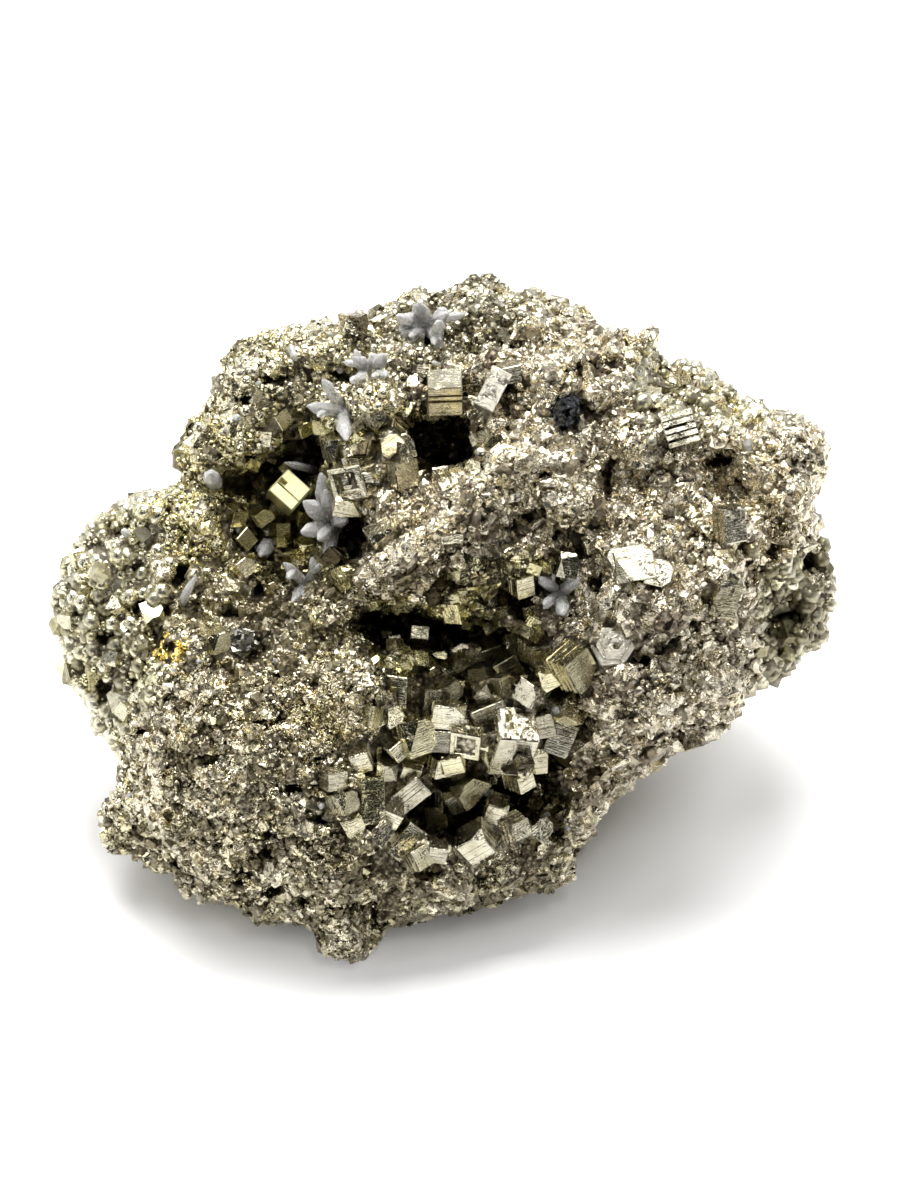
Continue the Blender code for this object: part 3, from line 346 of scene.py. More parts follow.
def point_array(ob):
    """The object's vertices as rows of a numpy array."""
    values = np.empty(len(ob.data.vertices) * 3)
    ob.data.vertices.foreach_get("co", values)
    return values.reshape(-1, 3)


def face_places(points):
    """Show-face places (u, v, w), in millimetres, of points in the standing frame."""
    turn = np.array(FACE_TURN)
    return (points / MM - np.array(FACE_OFFSET)) @ turn


def oval_reach(places, u, v, half_u, half_v, turn=0.0):
    """Squared distance of show-face places from an oval's middle, 1 at its rim."""
    angle = math.radians(turn)
    off_u = places[:, 0] - u
    off_v = places[:, 1] - v
    along = (off_u * math.cos(angle) + off_v * math.sin(angle)) / half_u
    over = (off_v * math.cos(angle) - off_u * math.sin(angle)) / half_v
    return along ** 2 + over ** 2


def probe(skin, u, v):
    """Place, in metres, where a ray sent into the show face meets the skin."""
    return skin.ray_cast(spot(u, v, PROBE_START), -FACE_OUT)[0]


def shape_show_side(ob, marks, levels, roundness, sinking):
    """Swell the skin round each mark along its normals, or sink it into the show face."""
    skin = BVHTree.FromObject(ob, bpy.context.evaluated_depsgraph_get())
    points = point_array(ob)
    places = face_places(points)
    normals = np.empty(len(points) * 3)
    ob.data.vertices.foreach_get("normal", normals)
    normals = normals.reshape(-1, 3)
    for u, v, half_u, half_v, turn, height in marks:
        hit = probe(skin, u, v)
        if hit is None:
            continue
        level = face_places(np.array([hit]))[0][2]
        reach = oval_reach(places, u, v, half_u, half_v, turn)
        near = (reach < 1.0) & (np.abs(places[:, 2] - level) < levels)
        push = height * (1.0 - reach[near]) ** roundness
        way = -np.array(FACE_OUT) if sinking else normals[near]
        points[near] += way * (push * MM)[:, None]
    ob.data.vertices.foreach_set("co", points.ravel())
    ob.data.update()


def relief_depth(ob, level):
    """How far each point stands out of the level skin (or in, when negative), along its normal."""
    normals = np.empty(len(ob.data.vertices) * 3)
    ob.data.vertices.foreach_get("normal", normals)
    return np.einsum('ij,ij->i', point_array(ob) - level, normals.reshape(-1, 3))


core = merged_copy(("pyrite_mass", "vug_crystals", "pocket_crystals"), "pyrite_stone")
work_step(core, 'DISPLACE', direction='NORMAL', mid_level=0.0, strength=SEAM_CLOSING)
work_step(core, 'REMESH', mode='VOXEL', voxel_size=CORE_VOXEL)
keep_outer_shell(core)
work_step(core, 'SMOOTH', factor=0.5, iterations=4)
shape_show_side(core, HOLLOWS, HOLLOW_LEVELS, PIT_ROUNDNESS, True)
work_step(core, 'REMESH', mode='VOXEL', voxel_size=CORE_VOXEL)
keep_outer_shell(core)
level_points = point_array(core).copy()        # the skin before any relief, to tell pits from peaks
for core_pattern in CORE_RELIEF:
    relief(core, *core_pattern)
shape_show_side(core, SWELLINGS, SWELLING_LEVELS, SWELLING_ROUNDNESS, False)
shape_show_side(core, PITS, PIT_LEVELS, PIT_ROUNDNESS, True)
work_step(core, 'DISPLACE', direction='NORMAL', mid_level=0.0, strength=-(SEAM_CLOSING + GRAIN_ROOM))
resting = point_array(core)
resting[:, 2] = np.maximum(resting[:, 2], 0.0)    # the lowest knobs are worn flat on the table
core.data.vertices.foreach_set("co", resting.ravel())
core.data.update()
core.name = "pyrite_stone"


def shader_socket(group, name, kind, side, value=None):
    """Add a named socket to a shader node group."""
    socket = group.interface.new_socket(name=name, in_out=side, socket_type=kind)
    if value is not None:
        socket.default_value = value


def math_node(tree, operation, first, second=None):
    """A Math node with sockets or numbers on its inputs; gives its output socket."""
    node = add_node(tree, "ShaderNodeMath", operation=operation)
    for slot, value in zip(node.inputs, (first, second)):
        if value is None:
            continue
        if isinstance(value, (int, float)):
            slot.default_value = value
        else:
            tree.links.new(value, slot)
    return node.outputs[0]


def spread(tree, value, low, high, to_low=0.0, to_high=1.0):
    """A smooth Map Range node from low..high to to_low..to_high; gives its output socket."""
    node = add_node(
        tree, "ShaderNodeMapRange", interpolation_type='SMOOTHSTEP', From_Min=low, From_Max=high,
        To_Min=to_low, To_Max=to_high)
    tree.links.new(value, node.inputs["Value"])
    return node.outputs["Result"]


def mixed(tree, share, first, second, blend='MIX'):
    """A colour Mix node with sockets or colours on its inputs; gives its output socket."""
    node = add_node(tree, "ShaderNodeMix", data_type='RGBA', blend_type=blend)
    for slot, value in ((node.inputs[0], share), (node.inputs[6], first), (node.inputs[7], second)):
        if isinstance(value, (int, float, tuple)):
            slot.default_value = value
        else:
            tree.links.new(value, slot)
    return node.outputs[2]


def micro_facets(tree, place, per_metre):
    """Height, in metres, of a mosaic of tiny flat faces, each tilted its own way."""
    cells = add_node(tree, "ShaderNodeTexVoronoi", Scale=per_metre)
    tree.links.new(place, cells.inputs["Vector"])
    offset = add_node(tree, "ShaderNodeVectorMath", operation='SUBTRACT')
    tree.links.new(place, offset.inputs[0])
    tree.links.new(cells.outputs["Position"], offset.inputs[1])
    tilt = add_node(tree, "ShaderNodeVectorMath", operation='SUBTRACT')
    tree.links.new(cells.outputs["Color"], tilt.inputs[0])
    tilt.inputs[1].default_value = (0.5, 0.5, 0.5)
    rise = add_node(tree, "ShaderNodeVectorMath", operation='DOT_PRODUCT')
    tree.links.new(offset.outputs[0], rise.inputs[0])
    tree.links.new(tilt.outputs[0], rise.inputs[1])
    return rise.outputs["Value"]


def pyrite_skin_group():
    """Brass tone, tarnish, roughness and relief of a pyrite surface, for every pyrite material."""
    group = bpy.data.node_groups.new("pyrite_skin", 'ShaderNodeTree')
    shader_socket(group, "Brass", 'NodeSocketColor', 'INPUT', (0.62, 0.58, 0.45, 1.0))
    shader_socket(group, "Gold", 'NodeSocketColor', 'INPUT', (0.66, 0.58, 0.32, 1.0))
    shader_socket(group, "Tarnish", 'NodeSocketColor', 'INPUT', (0.20, 0.15, 0.09, 1.0))
    shader_socket(group, "Tarnish Share", 'NodeSocketFloat', 'INPUT', 0.5)
    shader_socket(group, "Smoothest", 'NodeSocketFloat', 'INPUT', 0.16)
    shader_socket(group, "Dullest", 'NodeSocketFloat', 'INPUT', 0.5)
    shader_socket(group, "Facet Tilt", 'NodeSocketFloat', 'INPUT', 1.0)
    shader_socket(group, "Line Depth", 'NodeSocketFloat', 'INPUT', 0.02 * MM)
    shader_socket(group, "Etched", 'NodeSocketFloat', 'INPUT', 0.5)
    shader_socket(group, "Waves", 'NodeSocketFloat', 'INPUT', 0.12 * MM)
    shader_socket(group, "Color", 'NodeSocketColor', 'OUTPUT')
    shader_socket(group, "Roughness", 'NodeSocketFloat', 'OUTPUT')
    shader_socket(group, "Height", 'NodeSocketFloat', 'OUTPUT')
    given = group.nodes.new("NodeGroupInput")
    made = group.nodes.new("NodeGroupOutput")
    place = group.nodes.new("ShaderNodeTexCoord").outputs["Object"]
    tone = add_node(group, "ShaderNodeAttribute", attribute_name="tone").outputs["Fac"]
    warmth = add_node(group, "ShaderNodeAttribute", attribute_name="warmth").outputs["Fac"]

    # Growth lines, drawn out along each face
    lines_place = add_node(group, "ShaderNodeMapping", Scale=(0.35, 7.0, 1.0))
    growth = add_node(group, "ShaderNodeUVMap", uv_map="growth")
    group.links.new(growth.outputs[0], lines_place.inputs["Vector"])
    lines = add_node(
        group, "ShaderNodeTexNoise", noise_dimensions='2D', Scale=1.0, Detail=2.0, Roughness=0.6)
    group.links.new(lines_place.outputs[0], lines.inputs["Vector"])

    # Blotches a few millimetres wide, specks, and regions that are warmer and duller than others
    blotches = add_node(group, "ShaderNodeTexNoise", Scale=420.0, Detail=3.0, Roughness=0.65)
    group.links.new(place, blotches.inputs["Vector"])
    specks = add_node(group, "ShaderNodeTexNoise", Scale=3600.0, Detail=2.0, Roughness=0.6)
    group.links.new(place, specks.inputs["Vector"])
    regions = add_node(group, "ShaderNodeTexNoise", Scale=130.0, Detail=3.0, Roughness=0.6)
    group.links.new(place, regions.inputs["Vector"])
    region = math_node(group, 'SUBTRACT', regions.outputs["Fac"], 0.5)

    # Colour: brass to gold by warmth, darker by tone, tarnished in blotches and specks
    warm = math_node(group, 'ADD', warmth, math_node(group, 'MULTIPLY', region, 1.8))
    warm = spread(group, warm, 0.0, 1.0)
    stain = math_node(group, 'ADD', blotches.outputs["Fac"], math_node(group, 'MULTIPLY', tone, 0.35))
    stain = math_node(group, 'ADD', stain, math_node(group, 'MULTIPLY', region, 0.8))
    stained = spread(group, stain, 0.62, 0.84)
    stained = math_node(group, 'MULTIPLY', stained, given.outputs["Tarnish Share"])
    fine = spread(group, specks.outputs["Fac"], 0.58, 0.72)
    speck_share = math_node(group, 'MULTIPLY', given.outputs["Tarnish Share"], 0.6)
    fine = math_node(group, 'MULTIPLY', fine, speck_share)
    metal = mixed(group, warm, given.outputs["Brass"], given.outputs["Gold"])
    # Tone darkens the colour; the tone given to pits, hollows and shaded zones makes this painted shade
    # there.
    dusk = math_node(group, 'ADD', tone, math_node(group, 'MULTIPLY', region, 1.4))
    shade = spread(group, dusk, 0.0, 1.0, 1.12, 0.55)
    shaded = mixed(group, 1.0, metal, shade, 'MULTIPLY')
    colour = mixed(group, math_node(group, 'MAXIMUM', stained, fine), shaded, given.outputs["Tarnish"])
    group.links.new(colour, made.inputs["Color"])

    # Roughness, between the piece's smoothest and dullest
    wear = math_node(group, 'MULTIPLY', specks.outputs["Fac"], 0.5)
    wear = math_node(group, 'ADD', wear, math_node(group, 'MULTIPLY', tone, 0.5))
    wear = spread(group, wear, 0.15, 0.75)
    rough_range = math_node(group, 'SUBTRACT', given.outputs["Dullest"], given.outputs["Smoothest"])
    rough = math_node(group, 'MULTIPLY', wear, rough_range)
    rough = math_node(group, 'ADD', rough, given.outputs["Smoothest"])
    group.links.new(rough, made.inputs["Roughness"])

    # Relief: tiny facets, steeper where etched, with growth lines, grit and long waves
    fine_facets = math_node(group, 'MULTIPLY', micro_facets(group, place, 3300.0), 0.45)
    facets = math_node(group, 'ADD', micro_facets(group, place, 1400.0), fine_facets)
    patches = add_node(group, "ShaderNodeTexNoise", Scale=700.0, Detail=3.0, Roughness=0.7)
    group.links.new(place, patches.inputs["Vector"])
    etched = spread(group, patches.outputs["Fac"], 0.52, 0.62)
    etched = math_node(group, 'MULTIPLY', etched, given.outputs["Etched"])
    tilt = math_node(group, 'ADD', given.outputs["Facet Tilt"], etched)
    facets = math_node(group, 'MULTIPLY', facets, tilt)
    lines_height = math_node(group, 'MULTIPLY', lines.outputs["Fac"], given.outputs["Line Depth"])
    grit = math_node(group, 'MULTIPLY', specks.outputs["Fac"], 0.02 * MM)
    waves = math_node(group, 'MULTIPLY', blotches.outputs["Fac"], given.outputs["Waves"])
    height = math_node(group, 'ADD', math_node(group, 'ADD', facets, lines_height), grit)
    height = math_node(group, 'ADD', height, waves)
    group.links.new(height, made.inputs["Height"])
    return group


pyrite_skin = pyrite_skin_group()


def pyrite_material(name, colours, tarnish_share, roughness, facet_tilt, line_depth, etched, waves):
    """A pyrite material: the shared skin group with this piece's own values."""
    brass, gold, tarnish = colours
    smoothest, dullest = roughness
    material = bpy.data.materials.new(name)
    material.use_nodes = True
    tree = material.node_tree
    shader = tree.nodes["Principled BSDF"]
    shader.inputs["Metallic"].default_value = 1.0
    skin = tree.nodes.new("ShaderNodeGroup")
    skin.node_tree = pyrite_skin
    skin.inputs["Brass"].default_value = brass
    skin.inputs["Gold"].default_value = gold
    skin.inputs["Tarnish"].default_value = tarnish
    skin.inputs["Tarnish Share"].default_value = tarnish_share
    skin.inputs["Smoothest"].default_value = smoothest
    skin.inputs["Dullest"].default_value = dullest
    skin.inputs["Facet Tilt"].default_value = facet_tilt
    skin.inputs["Line Depth"].default_value = line_depth
    skin.inputs["Etched"].default_value = etched
    skin.inputs["Waves"].default_value = waves
    bump = add_node(tree, "ShaderNodeBump", Strength=1.0, Distance=1.0)
    tree.links.new(skin.outputs["Color"], shader.inputs["Base Color"])
    tree.links.new(skin.outputs["Roughness"], shader.inputs["Roughness"])
    tree.links.new(skin.outputs["Height"], bump.inputs["Height"])
    tree.links.new(bump.outputs["Normal"], shader.inputs["Normal"])
    return material


def set_marks(ob, tone, warmth):
    """Give every point its tone and warmth, which the pyrite skin reads."""
    for name, values in (("tone", tone), ("warmth", warmth)):
        mark = ob.data.attributes.new(name, 'FLOAT', 'POINT')
        mark.data.foreach_set("value", np.asarray(values, dtype=np.float32))


# The skin's dark brass and near-black tarnish are painted shade: the skin shows only in the gaps between the
# grains.
matrix_pyrite_painted_shade = pyrite_material(
    "matrix_pyrite_painted_shade", ((0.42, 0.38, 0.29, 1.0), (0.46, 0.39, 0.22, 1.0), (0.04, 0.03, 0.02, 1.0)),
    tarnish_share=0.95, roughness=(0.18, 0.45), facet_tilt=1.0,
    line_depth=0.0, etched=0.8, waves=0.12 * MM)
core.data.materials.clear()
core.data.materials.append(matrix_pyrite_painted_shade)
# The skin darkens with depth down each pit: painted shade.
core_sink = -relief_depth(core, level_points) / MM      # how deep each point lies in a pit, millimetres
core_tone_and_pit_shade = np.clip(CORE_TONE + core_sink * PIT_SHADE_TONE, 0.0, 1.0)
set_marks(core, core_tone_and_pit_shade, np.full(len(core_tone_and_pit_shade), CORE_WARMTH))
only_active(core)
bpy.ops.object.shade_smooth()
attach(core, "root")
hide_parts("pyrite_mass", "vug_crystals", "pocket_crystals")

# ---------------------------------------------------------------------------
# The larger crystals: striated pyrite cubes two to six millimetres across that
# grew into the open hollows, their faces built of narrow steps, some cut by others.
LINE_STEP = 0.008                              # height of a growth strip, as a share of the edge
EDGE_WEAR = 0.03
UNEVEN = 0.004
SQUARE_ON = 0.95                               # a face square to an axis has its normal this much along it
OUTER_LEVEL = 0.44                             # a cube's outer sides lie beyond this, over its edge
TUCK_REACH = 0.7                               # how far round a crystal the skin is drawn in
TUCK_DEPTH = 0.3
TONE_SCATTER = 0.16                            # how much crystals of one table differ
WARMTH_SCATTER = 0.15


def start_crystal(kind):
    """Add a unit starting form and enter edit mode."""
    bpy.ops.object.select_all(action='DESELECT')
    if kind == 'cube':
        bpy.ops.mesh.primitive_cube_add(size=1.0)
    elif kind == 'ball':
        bpy.ops.mesh.primitive_ico_sphere_add(subdivisions=1, radius=0.62)
    else:
        bpy.ops.mesh.primitive_cylinder_add(vertices=6, radius=0.62, depth=0.36)
    bpy.ops.object.mode_set(mode='EDIT')
    bpy.ops.mesh.select_all(action='SELECT')
    return bpy.context.object


def pick_faces(ob, wanted):
    """Select only the faces that pass the test."""
    bpy.ops.mesh.select_all(action='DESELECT')
    bm = bmesh.from_edit_mesh(ob.data)
    for face in bm.faces:
        if wanted(face):
            face.select_set(True)
    bmesh.update_edit_mesh(ob.data)


def cut_corner(ob, direction, distance):
    """Cut the crystal flat across one corner or edge."""
    bpy.ops.mesh.select_all(action='SELECT')
    facing = Vector(direction).normalized()
    bpy.ops.mesh.bisect(plane_co=facing * distance, plane_no=facing, use_fill=True, clear_outer=True)


def finish_crystal(ob, unevenness=0.0, smooth=False):
    """Leave edit mode and give the crystal's triangles, with growth-line places, as arrays."""
    bpy.ops.mesh.select_all(action='SELECT')
    bpy.ops.mesh.normals_make_consistent(inside=False)
    bpy.ops.mesh.quads_convert_to_tris()
    if unevenness:
        bpy.ops.transform.vertex_random(offset=unevenness, seed=2)
    bpy.ops.object.mode_set(mode='OBJECT')
    points = point_array(ob).copy()
    corners = np.empty(len(ob.data.polygons) * 3, dtype=np.int64)
    ob.data.polygons.foreach_get("vertices", corners)
    corners = corners.reshape(-1, 3)
    normals = np.empty(len(corners) * 3)
    ob.data.polygons.foreach_get("normal", normals)
    facing = np.abs(normals.reshape(-1, 3)).argmax(axis=1)
    along = np.array((1, 0, 0))[facing]
    across = np.array((2, 2, 1))[facing]
    lines = np.empty((len(corners), 3, 2))
    for corner in range(3):
        spots = points[corners[:, corner]]
        lines[:, corner, 0] = spots[np.arange(len(spots)), along]
        lines[:, corner, 1] = spots[np.arange(len(spots)), across]
    bpy.data.objects.remove(ob, do_unlink=True)
    return {"points": points, "corners": corners, "lines": lines, "smooth": smooth}


def raise_picked(ob, wanted, height):
    """Lift each picked face along its own normal."""
    pick_faces(ob, wanted)
    bpy.ops.mesh.extrude_faces_move(TRANSFORM_OT_shrink_fatten={"value": height})


def on_outside(face, axis):
    """Whether a face is part of the cube's two outer sides on this axis."""
    return abs(face.normal[axis]) > SQUARE_ON and abs(face.calc_center_median()[axis]) > OUTER_LEVEL


def growth_strips(ob, rng, normal_axis, across_axis, count):
    """Split both faces of one axis into long strips and lift every other one a little."""
    plane = [0.0, 0.0, 0.0]
    plane[across_axis] = 1.0
    cuts = sorted(rng.uniform(-0.46, 0.46) for _ in range(count))
    for cut in cuts:
        pick_faces(ob, lambda face: on_outside(face, normal_axis))
        place = [value * cut for value in plane]
        bpy.ops.mesh.bisect(plane_co=place, plane_no=plane, use_fill=False)
    bounds = [-0.6] + cuts + [0.6]
    for number, (low, high) in enumerate(zip(bounds[:-1], bounds[1:])):
        if number % 2:
            continue
        raise_picked(
            ob, lambda face: on_outside(face, normal_axis)
            and low < face.calc_center_median()[across_axis] < high,
            rng.uniform(-1.2, 1.8) * LINE_STEP)


def worn_cube():
    """A unit cube with slightly worn edges, in edit mode."""
    ob = start_crystal('cube')
    bpy.ops.mesh.bevel(offset=EDGE_WEAR, segments=1, affect='EDGES')
    return ob


def lined_cube(seed, strips, cuts=()):
    """A striated cube: strips on each pair of faces run a different way."""
    rng = random.Random(seed)
    ob = worn_cube()
    for direction, distance in cuts:
        cut_corner(ob, direction, distance)
    for normal_axis, across_axis in ((2, 1), (0, 2), (1, 0)):
        growth_strips(ob, rng, normal_axis, across_axis, strips)
    return finish_crystal(ob, UNEVEN)


def layered_cube(seed, layers):
    """A pile of thin square plates, each a little smaller, larger or shifted."""
    rng = random.Random(seed)
    ob = start_crystal('cube')
    bpy.ops.transform.resize(value=(1.0, 1.0, 1.0 / layers))
    bpy.ops.transform.translate(value=(0.0, 0.0, 0.5 / layers - 0.5))
    for _ in range(layers - 1):
        pick_faces(ob, lambda face: face.normal.z > SQUARE_ON and face.calc_area() > 0.3)
        bpy.ops.mesh.inset(thickness=rng.uniform(0.025, 0.06))
        shift = (rng.uniform(-0.02, 0.02), rng.uniform(-0.02, 0.02), 1.0 / layers)
        bpy.ops.mesh.extrude_region_move(TRANSFORM_OT_translate={"value": shift})
        if rng.random() < 0.5:
            bpy.ops.transform.resize(value=(1.07, 1.07, 1.0))
    return finish_crystal(ob, UNEVEN)


def pitted_cube(seed):
    """A cube whose faces are sunk unevenly, as a hopper crystal's are."""
    rng = random.Random(seed)
    ob = worn_cube()
    for axis, sign in ((2, 1.0), (1, -1.0), (0, -1.0)):
        pick_faces(ob, lambda face: face.normal[axis] * sign > SQUARE_ON)
        for rim, sunk in ((0.12, 0.13), (0.08, 0.28)):
            bpy.ops.mesh.inset(thickness=rim)
            move = [rng.uniform(-0.06, 0.06) for _ in range(3)]
            move[axis] = -sign * sunk
            bpy.ops.mesh.extrude_region_move(TRANSFORM_OT_translate={"value": move})
    return finish_crystal(ob, 4.0 * UNEVEN)


def notched_cube():
    """A lined cube with a deep square notch in one side of its face and a seam that leaves the notch."""
    ob = worn_cube()
    for axis, place in ((0, -0.2), (1, -0.13), (1, -0.08), (1, 0.13)):
        plane = [0.0, 0.0, 0.0]
        plane[axis] = 1.0
        pick_faces(ob, lambda face: face.normal.z > SQUARE_ON)
        bpy.ops.mesh.bisect(
            plane_co=[value * place for value in plane], plane_no=plane, use_fill=False)
    raise_picked(
        ob, lambda face: face.normal.z > SQUARE_ON and -0.48 < face.calc_center_median().x < -0.2
        and abs(face.calc_center_median().y) < 0.13, -0.40)
    raise_picked(
        ob, lambda face: face.normal.z > SQUARE_ON and -0.2 < face.calc_center_median().x
        and -0.13 < face.calc_center_median().y < -0.08, -0.12)
    growth_strips(ob, random.Random(5), 0, 2, 4)
    return finish_crystal(ob, UNEVEN)


def blotched_cube():
    """A cube with long strips on its sides and dark hollows etched into its upper face."""
    rng = random.Random(12)
    ob = worn_cube()
    growth_strips(ob, rng, 2, 0, 5)
    growth_strips(ob, rng, 0, 1, 9)
    pick_faces(ob, lambda face: face.normal.y > SQUARE_ON)
    bpy.ops.mesh.subdivide(number_cuts=9)
    raise_picked(
        ob, lambda face: face.normal.y > SQUARE_ON and face.calc_center_median().x > -0.25
        and abs(face.calc_center_median().z) < 0.38 and rng.random() < 0.30, -0.09)
    return finish_crystal(ob, 2.0 * UNEVEN)


def banded_cube(grooves, depth):
    """A cube crossed by deep dark grooves."""
    ob = worn_cube()
    for cut in (side for groove in grooves for side in groove):
        pick_faces(ob, lambda face: face.normal.z > SQUARE_ON or abs(face.normal.x) > SQUARE_ON)
        bpy.ops.mesh.bisect(plane_co=(0.0, cut, 0.0), plane_no=(0.0, 1.0, 0.0), use_fill=False)
    for low, high in grooves:
        raise_picked(
            ob, lambda face: face.normal.z > SQUARE_ON
            and low < face.calc_center_median().y < high, -depth)
    growth_strips(ob, random.Random(6), 1, 0, 4)
    return finish_crystal(ob, UNEVEN)


def hexagon_plate(seed):
    """A thick six-sided crystal of stepped plates with a hole sunk in the middle."""
    rng = random.Random(seed)
    ob = start_crystal('plate')
    bpy.ops.transform.resize(value=(0.84, 0.84, 2.0))
    bpy.ops.mesh.bevel(offset=0.03, segments=1, affect='EDGES')
    pick_faces(ob, lambda face: face.normal.z > SQUARE_ON)
    for rise, aside in ((0.06, 0.0), (0.05, 0.02), (-0.05, 0.05), (-0.42, 0.04)):
        bpy.ops.mesh.inset(thickness=rng.uniform(0.07, 0.10))
        move = (rng.uniform(-0.03, 0.03) + aside, rng.uniform(-0.03, 0.03) - aside, rise)
        bpy.ops.mesh.extrude_region_move(TRANSFORM_OT_translate={"value": move})
    return finish_crystal(ob, UNEVEN)


CRYSTAL_KINDS = {
    "lined": (lined_cube(1, 14), lined_cube(2, 16), lined_cube(3, 13, (((1, 1, 1), 0.66),))),
    "worn": (
        lined_cube(13, 12, (((1, 0.6, 1), 0.58), ((-1, 1, 0.7), 0.66), ((0.3, -1, 1), 0.62))),
        lined_cube(14, 10, (((-1, -0.5, 1), 0.60), ((1, 1, 0.4), 0.64), ((-0.2, 1, 1), 0.60))),
        lined_cube(15, 13, (((1, -1, 0.8), 0.68), ((-0.7, 0.4, 1), 0.56), ((0.8, 1, 1), 0.72))),
    ),
    "layered": (layered_cube(6, 6), layered_cube(7, 5)),
    "pitted": (pitted_cube(8),),
    "plain": (lined_cube(9, 2),),
    "notched": (notched_cube(),),
    "banded": (banded_cube(((-0.02, 0.06), (0.18, 0.25)), 0.10),),
    "striped": (banded_cube(((-0.36, -0.28), (-0.14, -0.08), (0.04, 0.13), (0.27, 0.33)), 0.22),),
    "blotched": (blotched_cube(),),
    "hexagon": (hexagon_plate(11),),
}
